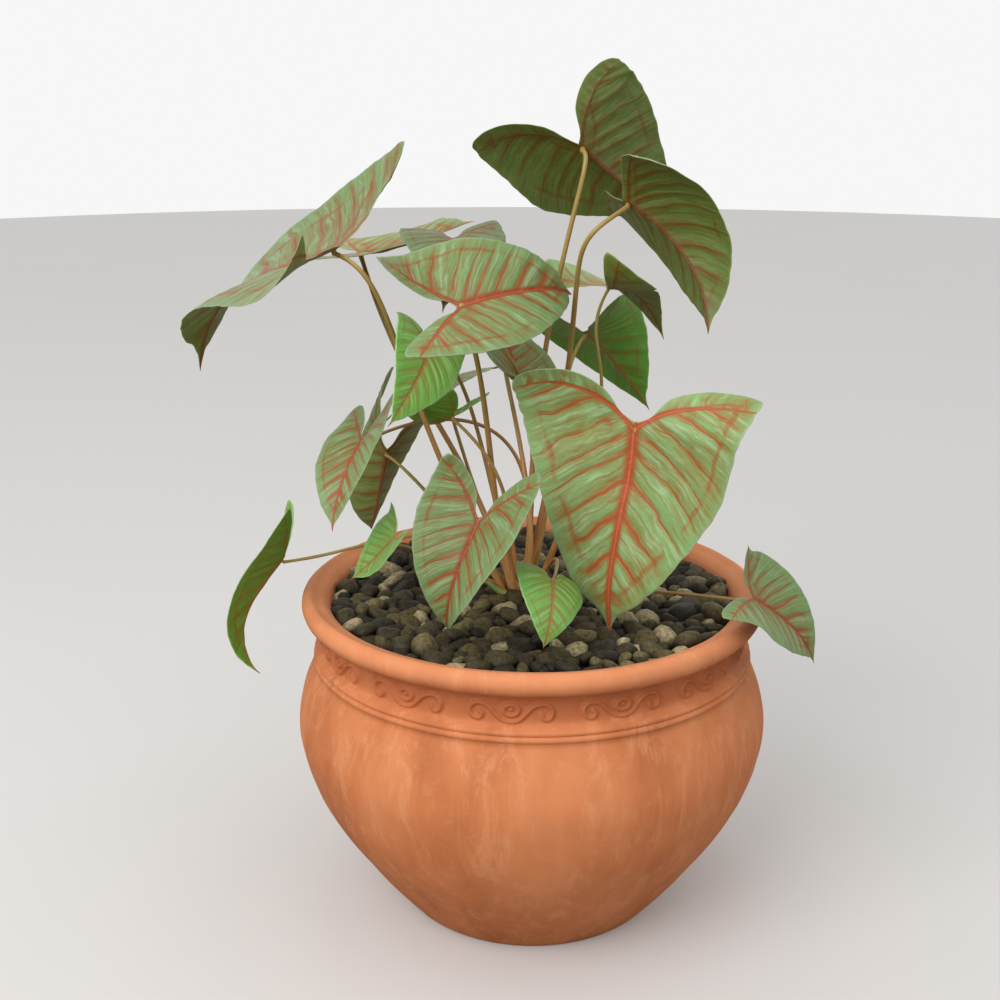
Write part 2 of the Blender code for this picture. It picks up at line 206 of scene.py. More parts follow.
def sweep(path: Array, side: Array, radius: Array, shape: Array) -> tuple[Array, list[Array]]:
    """Carry a ring of points along a path and close it at both ends.

    The ring stands square to the path. Its first point lies towards the side, and its points
    follow at even angles, at the radius times the shape.

    Args:
        path: Points of the middle line, one a row.
        side: A direction, or one a row.
        radius: The ring's size, one a row.
        shape: Each ring point's share of the radius.

    Returns:
        Points, of which the last two are the path's ends, and faces.
    """
    way = np.gradient(path, axis=0)
    way /= np.linalg.norm(way, axis=1, keepdims=True)
    first = side - (way * side).sum(axis=1, keepdims=True) * way
    first /= np.linalg.norm(first, axis=1, keepdims=True)
    second = np.cross(way, first)
    turn = full_turn(len(shape))
    ring = first[:, None] * (np.cos(turn) * shape)[:, None] \
        + second[:, None] * (np.sin(turn) * shape)[:, None]
    points = (path[:, None] + ring * radius[:, None, None]).reshape(-1, 3)
    n, last = len(shape), len(points)
    faces = [grid_quads(len(path), n), fan(last, np.arange(n), flip=True),
             fan(last + 1, last - n + np.arange(n))]
    return np.concatenate([points, path[:1], path[-1:]]), faces


def smooth_curve(points: Array, t: Array) -> Array:
    """Return points at t on a smooth curve through the given points.

    Between two points the curve is a cubic whose end slopes are the neighbours' slopes, weighted
    by the length of the other span.

    Args:
        points: The points, two or more.
        t: Places from 0 to 1 by length.

    Returns:
        A row for each t.
    """
    points = np.asarray(points, float)
    step = np.diff(points, axis=0)
    span = np.linalg.norm(step, axis=1)
    slope = step / span[:, None]
    before, after = span[:-1, None], span[1:, None]
    tangent = np.empty_like(points)
    tangent[1:-1] = (slope[:-1] * after + slope[1:] * before) / (after + before)
    tangent[0] = 1.5 * slope[0] - 0.5 * tangent[1]
    tangent[-1] = 1.5 * slope[-1] - 0.5 * tangent[-2]
    reach = np.concatenate([[0], np.cumsum(span)])
    along = np.clip(t, 0, 1) * reach[-1]
    i = np.clip(np.searchsorted(reach, along, side="right") - 1, 0, len(span) - 1)
    h = span[i][:, None]
    f = (along - reach[i])[:, None] / h
    return ((2 * f**3 - 3 * f**2 + 1) * points[i] + (f**3 - 2 * f**2 + f) * h * tangent[i]
            + (3 * f**2 - 2 * f**3) * points[i + 1] + (f**3 - f**2) * h * tangent[i + 1])


def waves(points: Array, size: float, seed: int) -> Array:
    """Return a smooth irregular value between about -1 and 1 at each point.

    It is the sum of five sine waves that run in random directions, each a little shorter than the
    one before.

    Args:
        points: Places in the last axis.
        size: Length of the longest wave.
        seed: Which pattern.

    Returns:
        One value a point.
    """
    rng = np.random.default_rng(seed)
    total = np.zeros(points.shape[:-1])
    for k in range(5):
        way = rng.normal(size=3)
        way *= math.tau / size * 1.45**k / np.linalg.norm(way)
        total += np.sin(points @ way + rng.uniform(0, math.tau)) / (1 + 0.5 * k)
    return total / 2.2


def add_object(name: str, points: Array, faces: list[Array],
               materials: list[bpy.types.Material] | None = None,
               choice: Array | None = None) -> bpy.types.Object:
    """Add a mesh object, shaded smooth, to the scene.

    Args:
        name: The object's plain name.
        points: Vertices in the frame of the part.
        faces: Arrays of faces; all faces of one array have the same number of corners.
        materials: Its materials.
        choice: The material's index for each face.

    Returns:
        The new object.
    """
    mesh = bpy.data.meshes.new(name)
    corners = np.concatenate([f.ravel() for f in faces]).astype(np.int32)
    sizes = np.concatenate([np.full(len(f), f.shape[1]) for f in faces]).astype(np.int32)
    starts = np.concatenate([[0], np.cumsum(sizes)[:-1]]).astype(np.int32)
    mesh.vertices.add(len(points))
    mesh.vertices.foreach_set("co", (np.asarray(points) * MM).astype(np.float32).ravel())
    mesh.loops.add(len(corners))
    mesh.loops.foreach_set("vertex_index", corners)
    mesh.polygons.add(len(sizes))
    mesh.polygons.foreach_set("loop_start", starts)
    mesh.polygons.foreach_set("loop_total", sizes)
    for material in materials or []:
        mesh.materials.append(material)
    if choice is not None:
        mesh.polygons.foreach_set("material_index", choice.astype(np.int32))
    mesh.update(calc_edges=True)
    mesh.validate()
    mesh.shade_smooth()
    thing = bpy.data.objects.new(name, mesh)
    bpy.context.scene.collection.objects.link(thing)
    return thing


def add_piece(name: str, points: Array, faces: list[Array], materials: list[bpy.types.Material],
              stands_for: str, fields: dict[str, Array] | None = None,
              choice: Array | None = None) -> bpy.types.Object:
    """Add a finished piece to the scene and the frame.

    Args:
        name: The piece's plain name.
        points: Vertices in the frame of the part.
        faces: Arrays of faces, as for add_object.
        materials: The piece's materials.
        stands_for: The CAD node that it replaces.
        fields: Name to a value for each vertex, which its materials read.
        choice: The material's index for each face.

    Returns:
        The new object.
    """
    piece = add_object(name, points, faces, materials, choice)
    for key, values in (fields or {}).items():
        data = piece.data.attributes.new(key, "FLOAT", "POINT").data
        data.foreach_set("value", np.asarray(values, np.float32))
    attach(piece, BODY)
    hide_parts(stands_for)
    LOG.info("%s: %d faces", name, len(piece.data.polygons))
    return piece


# ---------------------------------------------------------------- finishes

@dataclass(frozen=True)
class Terracotta:
    """Unglazed earthenware, turned and fired: dry orange clay with soft upright clouds and streaks
    left by wiping, a faint lime bloom that is strongest on the rim and painted light there,
    painted shade in the neck under it, and fine grain in the light that skims it."""

    pale: str = "#E4905E"
    clay: str = "#D5804D"
    dark: str = "#C27042"
    bloom: str = "#DFA884"
    lime_and_painted_light: str = "#EF9C6C"  # lime bloom and painted light on the rim
    painted_neck_shade: str = "#A8572C"  # painted shade in the neck, under the rim
    wiped: str = "#EDA273"  # where the wash was wiped thin
    cloud: float = 42.0     # size of one cloud
    patch: float = 17.0     # of one wiped patch
    speck: float = 9.0      # of one speck of bloom
    grain: float = 1.2      # of one grain, drawn coarser than real so that it shows

    def make(self) -> bpy.types.Material:
        """Return the material: three clay colours mixed by stretched noise, under wiped patches,
        bloom, painted shade in the neck and lime with painted light on the rim, both by height;
        grain as bump."""
        material, tree, shader, coords = start_material("fired_terracotta")
        upright = add_node(tree, "Mapping", {"Vector": coords, "Scale": (1.0, 1.0, 0.22)})
        cloud, speck, patch, grain = (
            add_node(tree, "TexNoise", {"Vector": place, "Scale": 1 / MM / size, "Detail": detail,
                                        "Roughness": rough, "Distortion": bend})
            for place, size, detail, rough, bend in (
                (upright, self.cloud, 4.0, 0.6, 0.0), (coords, self.speck, 5.0, 0.7, 0.0),
                (upright, self.patch, 6.0, 0.78, 0.6), (coords, self.grain, 2.0, 0.5, 0.0)))
        color = add_node(tree, "ValToRGB", {"Fac": cloud})
        stops = color.node.color_ramp.elements
        stops[0].position, stops[0].color = 0.30, linear(self.dark)
        stops[1].position, stops[1].color = 0.70, linear(self.pale)
        stops.new(0.47).color = linear(self.clay)
        height = add_node(tree, "SeparateXYZ", {0: coords}, out="Z")    # in metres
        # on_rim_lime_and_light paints lime bloom and painted light onto the rim, by height
        thin, chalk, over_neck, on_rim_lime_and_light, below_rim = (
            add_node(tree, "MapRange", {"Value": value, "From Min": low, "From Max": high,
                                        "To Max": most}, interpolation_type="SMOOTHSTEP")
            for value, low, high, most in (
                (patch, 0.48, 0.66, 0.5), (speck, 0.52, 0.78, 0.30), (height, 0.180, 0.187, 1.0),
                (height, 0.203, 0.212, 0.5), (height, 0.2085, 0.1985, 0.55)))
        # painted shade: the band of neck just under the rim is darkened
        painted_shade_band = add_node(tree, "Math", {0: over_neck, 1: below_rim}, operation="MULTIPLY")
        for share, over in ((thin, self.wiped), (chalk, self.bloom), (painted_shade_band, self.painted_neck_shade),
                            (on_rim_lime_and_light, self.lime_and_painted_light)):
            color = add_node(tree, "Mix", {0: share, 6: color, 7: over}, out=2, data_type="RGBA")
        bump = add_node(tree, "Bump", {"Height": grain, "Strength": 0.25, "Distance": 0.0003})
        fill_inputs(tree, shader, {"Base Color": color, "Normal": bump, "Roughness": 0.68,
                                   "Specular IOR Level": 0.35})
        return material


@dataclass(frozen=True)
class PottingMix:
    """Peat and bark, mixed and pressed in: nearly black crumbs that take all light."""

    dark: str = "#1D150F"
    bark: str = "#4A3423"
    crumb: float = 3.0      # size of one crumb

    def make(self) -> bpy.types.Material:
        """Return the material: crumbs as colour and bump."""
        material, tree, shader, coords = start_material("potting_mix_peat")
        crumb = add_node(tree, "TexVoronoi", {"Vector": coords, "Scale": 1 / MM / self.crumb},
                         out="Distance")
        color = add_node(tree, "Mix", {0: crumb, 6: self.bark, 7: self.dark}, out=2,
                         data_type="RGBA")
        bump = add_node(tree, "Bump", {"Height": crumb, "Distance": 0.001})
        fill_inputs(tree, shader, {"Base Color": color, "Normal": bump, "Roughness": 1.0})
        return material


@dataclass(frozen=True)
class RiverGravel:
    """River pebbles of mixed stone, tumbled round: each a dark olive, grey or brown of its own,
    with faint mottling, a dull skin and painted light on the faces that turn up, which parts each
    stone from the dark between the stones."""

    stones: tuple[str, ...] = ("#262113", "#3B331C", "#494024", "#5E5434", "#918464", "#322B18")
    speck: float = 2.5      # size of the mottling

    def make(self) -> bpy.types.Material:
        """Return the material: the stone's own number picks its colour, noise mottles it, and
        painted light from above lightens it with the upward part of its normal."""
        material, tree, shader, coords = start_material("river_gravel")
        own = add_node(tree, "Attribute", out="Fac", attribute_name="stone")
        stone = add_node(tree, "ValToRGB", {"Fac": own})
        ramp = stone.node.color_ramp
        ramp.interpolation = "CONSTANT"
        ramp.elements[1].position = 1 / len(self.stones)
        for i, code in enumerate(self.stones):
            stop = ramp.elements[i] if i < 2 else ramp.elements.new(i / len(self.stones))
            stop.color = linear(code)
        mottle = add_node(tree, "TexNoise", {"Vector": coords, "Scale": 1 / MM / self.speck,
                                             "Detail": 4.0, "Roughness": 0.65})
        normal = add_node(tree, "NewGeometry", out="Normal")
        upward = add_node(tree, "SeparateXYZ", {0: normal}, out="Z")
        # painted light: stones are lighter where their faces turn up
        shade, painted_top_light = (
            add_node(tree, "MapRange", {"Value": value, "From Min": low, "From Max": high,
                                        "To Min": start, "To Max": end})
            for value, low, high, start, end in ((mottle, 0.3, 0.7, 0.4, 1.9),
                                                 (upward, 0.1, 1.0, 0.2, 1.35)))
        light = add_node(tree, "Math", {0: shade, 1: painted_top_light}, operation="MULTIPLY")
        color = add_node(tree, "VectorMath", {0: stone, "Scale": light}, operation="SCALE")
        bump = add_node(tree, "Bump", {"Height": mottle, "Strength": 0.5, "Distance": 0.0006})
        fill_inputs(tree, shader, {"Base Color": color, "Normal": bump, "Roughness": 0.6,
                                   "Specular IOR Level": 0.3})
        return material


@dataclass(frozen=True)
class CormSkin:
    """The corm's papery brown skin, dried in rings: dull, with darker rings and fibres."""

    pale: str = "#7B5B38"
    dark: str = "#3A2616"
    spacing: float = 2.5    # between rings

    def make(self) -> bpy.types.Material:
        """Return the material: rings, broken up by noise."""
        material, tree, shader, coords = start_material("corm_skin")
        rings = add_node(tree, "TexWave", {
            "Vector": coords, "Scale": 1 / MM / (self.spacing * math.tau), "Distortion": 6.0,
            "Detail": 3.0}, out="Fac", bands_direction="Z")
        color = add_node(tree, "Mix", {0: rings, 6: self.dark, 7: self.pale}, out=2,
                         data_type="RGBA")
        bump = add_node(tree, "Bump", {"Height": rings, "Distance": 0.0005})
        fill_inputs(tree, shader, {"Base Color": color, "Normal": bump, "Roughness": 0.85})
        return material


@dataclass(frozen=True)
class Petiole:
    """A fleshy leaf stalk's skin: waxy, pinkish tan near the crown and olive yellow higher up, with
    fine fibres that run along it."""

    foot: str = "#CB9458"
    middle: str = "#C79257"
    top: str = "#B09550"
    fibre: str = "#8A622E"
    drift: float = 60.0     # length over which the colours wander

    def make(self) -> bpy.types.Material:
        """Return the material: colour by the place along, fibres as noise drawn out along it."""
        material, tree, shader, coords = start_material("caladium_petiole")
        along, reach, around = (add_node(tree, "Attribute", out="Fac", attribute_name=name)
                                for name in ("along", "reach", "around"))
        drift = add_node(tree, "TexNoise", {"Vector": coords, "Scale": 1 / MM / self.drift})
        place = add_node(tree, "Math", {0: drift, 1: 0.5, 2: along}, operation="MULTIPLY_ADD")
        color = add_node(tree, "ValToRGB", {"Fac": place})
        stops = color.node.color_ramp.elements
        stops[0].position, stops[0].color = 0.25, linear(self.foot)
        stops[1].position, stops[1].color = 0.95, linear(self.top)
        stops.new(0.6).color = linear(self.middle)
        grid = add_node(tree, "CombineXYZ", {"X": around, "Y": reach})
        fibre = add_node(tree, "TexNoise", {"Vector": grid, "Scale": 1.0, "Detail": 3.0})
        shade = add_node(tree, "MapRange", {"Value": fibre, "From Min": 0.45, "From Max": 0.75,
                                            "To Max": 0.5})
        color = add_node(tree, "Mix", {0: shade, 6: color, 7: self.fibre}, out=2, data_type="RGBA")
        bump = add_node(tree, "Bump", {"Height": fibre, "Strength": 0.4, "Distance": 0.0004})
        fill_inputs(tree, shader, {"Base Color": color, "Normal": bump, "Roughness": 0.42})
        return material


@dataclass(frozen=True)
class YoungSheath:
    """The skin of a young sheath: smooth, fresh green, paler at its lower end."""

    fresh: str = "#6F8B3E"
    pale: str = "#A9A25E"
    mottle: float = 2.0

    def make(self) -> bpy.types.Material:
        """Return the material: pale to fresh along the sheath, mottled by noise."""
        material, tree, shader, coords = start_material("young_sheath_skin")
        along = add_node(tree, "Attribute", out="Fac", attribute_name="along")
        noise = add_node(tree, "TexNoise", {"Vector": coords, "Scale": 1 / MM / self.mottle})
        place = add_node(tree, "Math", {0: noise, 1: 0.6, 2: along}, operation="MULTIPLY_ADD")
        color = add_node(tree, "Mix", {0: place, 6: self.pale, 7: self.fresh}, out=2,
                         data_type="RGBA")
        fill_inputs(tree, shader, {"Base Color": color, "Roughness": 0.45})
        return material


@dataclass(frozen=True)
class LeafSkin:
    """One side of a caladium blade: thin waxy tissue in two greens, brushed with pale and tan
    streaks that follow the side veins, with red veins that bleed into it, a vein that gathers
    their ends near the margin, and a thin pale rim."""

    name: str
    ground: str             # the tissue's colour
    cloud: str              # the second colour of its clouds
    light: str              # the pale streaks
    stain: str              # the warm streaks beside the side veins
    side_vein: str
    main_vein: str
    core: str               # the middle line of the main veins
    margin: str
    light_most: float = 0.75
    stain_most: float = 0.8
    side_most: float = 0.9
    roughness: float = 0.48
    relief: float = 0.35    # how strongly the side veins show as bump

    def make(self) -> bpy.types.Material:
        """Return the material: layers of colour, each laid over those before by its own share.

        The blade's vertices carry `phase`, a whole number on each side vein, `away`, the distance
        from the main veins, `rib` and `lobe`, the distances from the midrib and the lobe veins in
        vein widths, `edge`, the distance from the margin, `hem`, the same in distances of the
        gathering vein, `reach`, the side vein half widths in one step of phase, `red`, how far the
        red bleeds, and `shade`, how light this leaf's tissue is: partly its tone, partly painted
        light and shade for how lit the leaf stands.
        """
        material, tree, shader, coords = start_material(self.name)
        phase, away, reach, rib, lobe, edge, hem, red, shade = (
            add_node(tree, "Attribute", out="Fac", attribute_name=name)
            for name in ("phase", "away", "reach", "rib", "lobe", "edge", "hem", "red", "shade"))
        broad, loose, fine = (
            add_node(tree, "TexNoise", {"Vector": coords, "Scale": 1 / MM / size,
                                        "Detail": detail, "Roughness": 0.6})
            for size, detail in ((34.0, 3.0), (16.0, 1.0), (9.0, 4.0)))

        # streaks run along the side veins: fast with the phase, slowly with the way out
        bent = add_node(tree, "Math", {0: loose, 1: 0.36, 2: -0.18}, operation="MULTIPLY_ADD")
        wander = add_node(tree, "Math", {0: phase, 1: bent})
        flow = add_node(tree, "CombineXYZ", {"X": wander, "Y": away, "Z": broad})
        drawn = (add_node(tree, "VectorMath", {0: flow, 1: scale}, operation="MULTIPLY")
                 for scale in ((5.5, 0.05, 3.0), (13.0, 0.07, 4.0), (1.1, 0.03, 2.0)))
        streaks, threads, tufts = (
            add_node(tree, "TexNoise", {"Vector": place, "Scale": 1.0, "Detail": 3.0,
                                        "Roughness": 0.55}) for place in drawn)

        # distances in half widths: from the nearest side vein, from the thin one between two of
        # them, from the nearest main vein, and from the vein that gathers their ends
        wave = add_node(tree, "Math", {0: wander, 1: 0.5}, operation="PINGPONG")
        far = add_node(tree, "Math", {0: 0.5, 1: wave}, operation="SUBTRACT")
        across, between = (add_node(tree, "Math", {0: part, 1: reach}, operation="MULTIPLY")
                           for part in (wave, far))
        rail = add_node(tree, "Math", {0: broad, 1: 0.5})
        gap = add_node(tree, "Math", {0: hem, 1: rail}, operation="SUBTRACT")
        to_rib, to_lobe, to_rail = (add_node(tree, "Math", {0: part}, operation="ABSOLUTE")
                                    for part in (rib, lobe, gap))
        near = add_node(tree, "Math", {0: to_rib, 1: to_lobe}, operation="MINIMUM")

        # a layer's share goes from start to end while a value goes from low to high
        share = {name: add_node(tree, "MapRange", {"Value": value, "From Min": low,
                                                   "From Max": high, "To Min": start,
                                                   "To Max": end}, interpolation_type="SMOOTHSTEP")
                 for name, value, low, high, start, end in (
                     ("cloud", broad, 0.42, 0.60, 0.0, 1.0),
                     ("pale", streaks, 0.50, 0.66, 0.0, self.light_most),
                     ("brown", streaks, 0.34, 0.46, 0.55, 0.0),
                     ("hair", threads, 0.56, 0.70, 0.0, 0.6 * self.stain_most),
                     ("stain", threads, 0.40, 0.56, 0.25, self.stain_most),
                     ("fresh edge", edge, 1.0, 7.0, 0.6, 0.0),
                     ("halo", across, 0.8, 5.4, 1.0, 0.0),
                     ("ruddy", away, 3.0, 26.0, 1.0, 0.0),
                     ("inner", hem, 0.75, 1.15, 0.0, 1.0),
                     ("worn", tufts, 0.34, 0.52, 0.35, self.side_most),
                     ("between", between, 0.2, 0.9, 0.55, 0.0),
                     ("rail", to_rail, 0.04, 0.22, 1.0, 0.0),
                     ("side", across, 0.5, 1.45, 1.0, 0.0),
                     ("bleed", near, 0.8, 3.2, 1.0, 0.0),
                     ("rim", edge, 0.4, 1.4, 0.8, 0.0),
                     ("main", near, 0.7, 1.3, 1.0, 0.0),
                     ("core", near, 0.0, 0.5, 0.6, 0.0))}
        seen = add_node(tree, "MapRange", {"Value": broad, "From Min": 0.44, "From Max": 0.56,
                                           "To Max": 0.6})
        kept = add_node(tree, "Math", {0: share["inner"], 1: share["worn"]}, operation="MULTIPLY")
        for name, factor in (("stain", share["halo"]), ("between", kept), ("side", kept),
                             ("rail", seen), ("bleed", red)):
            share[name] = add_node(tree, "Math", {0: share[name], 1: factor}, operation="MULTIPLY")
        vein = add_node(tree, "Mix", {0: share["ruddy"], 6: self.side_vein, 7: self.main_vein},
                        out=2, data_type="RGBA")

        layer = self.ground
        for name, over in (("cloud", self.cloud), ("pale", self.light), ("brown", self.stain),
                           ("hair", self.stain), ("stain", self.stain),
                           ("fresh edge", self.ground), ("between", self.side_vein),
                           ("rail", self.side_vein), ("side", vein), ("bleed", self.side_vein),
                           ("rim", self.margin), ("main", self.main_vein), ("core", self.core)):
            layer = add_node(tree, "Mix", {0: share[name], 6: layer, 7: over}, out=2,
                             data_type="RGBA")
        # painted light and shade: the whole colour is scaled by the leaf's shade
        layer = add_node(tree, "VectorMath", {0: layer, "Scale": shade}, operation="SCALE")
        height = add_node(tree, "Math", {0: streaks, 1: 0.8, 2: fine}, operation="MULTIPLY_ADD")
        height = add_node(tree, "Math", {0: share["halo"], 1: -self.relief, 2: height},
                          operation="MULTIPLY_ADD")
        bump = add_node(tree, "Bump", {"Height": height, "Strength": 0.5, "Distance": 0.0012})
        fill_inputs(tree, shader, {"Base Color": layer, "Normal": bump,
                                   "Roughness": self.roughness, "Specular IOR Level": 0.4})
        return material


@dataclass(frozen=True)
class PaleFloor:
    """A matt pale studio floor. It shows pale to the camera with the plant's shadow on it, and
    throws less light back up than it shows, as a floor in a large dim room does."""

    shown: str = "#CFCDCA"
    cloud: str = "#D3D1CF"
    thrown: str = "#8F8A83"
    lift: float = 0.12      # glow that only the camera sees

    def make(self) -> bpy.types.Material:
        """Return the material, with the faintest cloudiness."""
        material, tree, shader, coords = start_material("studio_floor")
        ray = add_node(tree, "LightPath", out="Is Camera Ray")
        noise = add_node(tree, "TexNoise", {"Vector": coords, "Scale": 2.0})
        shown = add_node(tree, "Mix", {0: noise, 6: self.shown, 7: self.cloud}, out=2,
                         data_type="RGBA")
        color = add_node(tree, "Mix", {0: ray, 6: self.thrown, 7: shown}, out=2, data_type="RGBA")
        glow = add_node(tree, "Math", {0: ray, 1: self.lift}, operation="MULTIPLY")
        fill_inputs(tree, shader, {"Base Color": color, "Emission Color": shown,
                                   "Emission Strength": glow, "Roughness": 0.9})
        return material


SAGE_TOP = LeafSkin("blade_upper_sage", "#88AE6C", "#8E9C5C", "#A8C692", "#9A7238", "#A25522",
                    "#B84E26", "#CA8058", "#A8BA8E", 0.75, 0.9)
OLIVE_UNDER = LeafSkin("blade_under_olive", "#647A38", "#6A7C3A", "#7A904C", "#6A5410", "#6E4A10",
                       "#70400C", "#7C5820", "#82904C", 0.5, 0.75, 0.8, 0.5, -0.3)
FRESH_TOP = LeafSkin("blade_upper_fresh", "#70B04E", "#7EB658", "#9CC67C", "#848438", "#8E6A2E",
                     "#9A6832", "#C09068", "#A2C684", 0.6, 0.45, 0.65)
GREEN_UNDER = LeafSkin("blade_under_green", "#62A43A", "#6CAA3E", "#82B64C", "#787E2C", "#8C702A",
                       "#986A2E", "#A88446", "#9CBC62", 0.4, 0.4, 0.6, 0.5, -0.3)
SLENDER_PETIOLE = Petiole("#BC9248", "#B29242", "#A69040", "#75662A")


class Look(Enum):
    """What a leaf's two sides look like: upper side, then underside."""

    MATURE = (SAGE_TOP, OLIVE_UNDER)
    YOUNG = (FRESH_TOP, GREEN_UNDER)


# ---------------------------------------------------------------- pot and filling

@dataclass
class Pot:
    """The terracotta pot: a belly on a small foot, two cords round its shoulder, a neck with a
    scroll frieze, and a rolled rim. Profiles are radius and height pairs."""

    floor_radius: float = 74.0
    floor_thickness: float = 12.0
    floor_hub: float = 1.5      # radius of the innermost ring, on the floor's two sides
    rim: tuple = ((143.5, 202.2), (148.3, 205.6), (150.2, 210.4), (148.8, 215.2), (145.2, 217.5),
                  (140.5, 216.0), (135.5, 214.2), (132.5, 211.6))
    belly: tuple = ((84, 0), (87, 2.5), (103, 22), (119, 44), (133, 65), (144.5, 87), (151.5, 108),
                    (154.5, 129), (151, 150), (143.5, 169))
    cords: tuple = ((141.8, 174.2), (141, 178.1))
    cord_radius: float = 2.1
    cord_reach: float = 62.0    # degrees a cord's outline goes round, up and down from outside
    neck: tuple = ((138.4, 182.5), (137, 190), (137.2, 197), (139, 200.8))
    inside: tuple = ((131, 207.5), (129, 197), (129.4, 184), (134, 168), (141.5, 150), (145, 129),
                     (142, 108), (135, 87), (123.5, 65), (109, 44), (93, 24), (80, 14.5))
    drain_holes: int = 3
    drain_radius: float = 7.0
    drain_circle: float = 46.0
    wobble: float = 0.25        # how far the wall strays from true
    wobble_length: float = 60.0
    wobble_from: float = 90.0   # radius where that starts, so that the foot stands flat
    segments: int = 288
    frieze_split: int = 4       # frieze columns for each column of the rest
    frieze_rows: int = 24
    scrolls: int = 13           # groups round the neck
    scroll_middle: float = 190.3
    scroll_turn: float = -96.1  # degrees, place of one group's eye
    scroll_height: float = 2.3
    scroll_width: float = 1.9   # half width of the modelled line
    scroll_line: tuple = ((-18.6, -0.6), (-16.8, -2.6), (-18.8, -4.8), (-22.6, -3.8), (-24.2, -0.2),
                          (-22.4, 3.4), (-18.0, 4.6), (-13.4, 2.8), (-9.4, -1.4), (-5.0, -5.0),
                          (0.0, -6.2), (5.0, -4.8), (9.0, -0.8), (13.0, 3.0), (17.8, 4.6),
                          (22.4, 3.4), (24.2, -0.4), (22.6, -4.0), (19.2, -4.6), (17.8, -2.4))
    eye_height: float = 0.9     # of the ring's middle over the frieze's
    eye_radius: float = 3.3
    eye_stretch: float = 1.35   # the ring is wider than high
    knob: float = 1.25          # how fast the knob in the ring falls off
    trough_place: float = 1.45  # in line half widths from the line's middle
    trough_width: float = 0.8
    trough_depth: float = 0.4
    finish: Terracotta = field(default_factory=Terracotta)

    def relief(self, along: Array, up: Array) -> Array:
        """Return the frieze's height above the neck.

        Each point takes its distance from the nearest line of the scroll, which is an open curve
        under a ring with a knob in it. The height is scroll_height times a half wave of that
        distance over the line's half width, and a shallow trough follows the line outside it.

        Args:
            along: Way round from the group's eye.
            up: Height above the frieze's middle.

        Returns:
            Heights.
        """
        line = smooth_curve(self.scroll_line, np.linspace(0, 1, 90))
        start, step = line[:-1], np.diff(line, axis=0)
        rel = np.stack([along, up], axis=-1)[..., None, :] - start
        t = np.clip((rel * step).sum(-1) / (step**2).sum(-1), 0, 1)
        reach = np.linalg.norm(rel - t[..., None] * step, axis=-1).min(axis=-1)
        from_eye = np.hypot(along / self.eye_stretch, up - self.eye_height)
        reach = np.minimum(reach, np.abs(from_eye - self.eye_radius))
        reach = np.minimum(reach, self.knob * from_eye)
        share = np.clip(reach / self.scroll_width, 0, 1)
        raised = self.scroll_height * (0.5 + 0.5 * np.cos(math.pi * share))
        off = reach - self.trough_place * self.scroll_width
        return raised - self.trough_depth * np.exp(-(off / self.trough_width) ** 2)

    def frieze(self) -> Array:
        """Turn the neck's profile round on a finer grid, with the relief added to its radius.

        Returns:
            The neck's points, ring by ring.
        """
        columns = self.segments * self.frieze_split
        way = np.linspace(0, 1, self.frieze_rows)
        profile = smooth_curve(self.neck, way)
        group = math.tau / self.scrolls
        offset = (full_turn(columns) - math.radians(self.scroll_turn) + group / 2) % group
        along = (offset - group / 2) * self.neck[1][0]
        along, up = np.meshgrid(along, profile[:, 1] - self.scroll_middle)
        fade = np.sin(math.pi * way)[:, None] ** 0.25
        return turn_round(profile, columns, profile[:, :1] + self.relief(along, up) * fade)

    def build(self) -> None:
        """Make the pot as one closed mesh: rings up the outside and down the inside, with n-gons
        where the frieze's finer rings meet the others, and its drain holes cut."""
        belly = smooth_curve(self.belly[1:], np.linspace(0, 1, 54))
        cords = [(r + self.cord_radius * math.cos(a), z + self.cord_radius * math.sin(a))
                 for r, z in self.cords
                 for a in np.radians(np.linspace(-self.cord_reach, self.cord_reach, 9))]
        rim = smooth_curve(self.rim, np.linspace(0, 1, 34))
        inside = smooth_curve(self.inside, np.linspace(0, 1, 40))
        below = np.array([(self.floor_hub, 0.0), self.belly[0], *belly, *cords])
        above = np.array([*rim, *inside, (self.floor_radius, self.floor_thickness),
                          (self.floor_hub, self.floor_thickness)])
        n, split = self.segments, self.frieze_split
        low, band, high = turn_round(below, n), self.frieze(), turn_round(above, n)
        band_start, high_start = len(low), len(low) + len(band)
        hub = high_start + len(high)
        points = np.concatenate([low, band, high, [(0, 0, 0), (0, 0, self.floor_thickness)]])
        points += self.unevenness(points)
        i, comb, fine = np.arange(n), np.arange(split, -1, -1), n * split
        lower = np.column_stack([band_start - n + i, band_start - n + (i + 1) % n,
                                 band_start + (i[:, None] * split + comb) % fine])
        upper = np.column_stack([high_start + (i + 1) % n, high_start + i,
                                 high_start - fine + (i[:, None] * split + comb[::-1]) % fine])
        faces = [grid_quads(len(below), n), lower, grid_quads(self.frieze_rows, fine, band_start),
                 upper, grid_quads(len(above), n, high_start),
                 fan(hub, i, flip=True), fan(hub + 1, hub - n + i)]
        self.drill(add_piece("terracotta_pot", points, faces, [self.finish.make()], "pot"))

    def unevenness(self, points: Array) -> Array:
        """Work out small moves of the wall, in or out by waves, as a hand-finished pot has them.

        Args:
            points: Points of the pot.

        Returns:
            A move for each point.
        """
        radius = np.hypot(points[:, 0], points[:, 1])
        out = points[:, :2] / np.maximum(radius, 1)[:, None]
        share = np.clip((radius - self.wobble_from) / 20, 0, 1)
        amount = self.wobble * waves(points, self.wobble_length, 3) * share
        return np.column_stack([out * amount[:, None], np.zeros(len(points))])

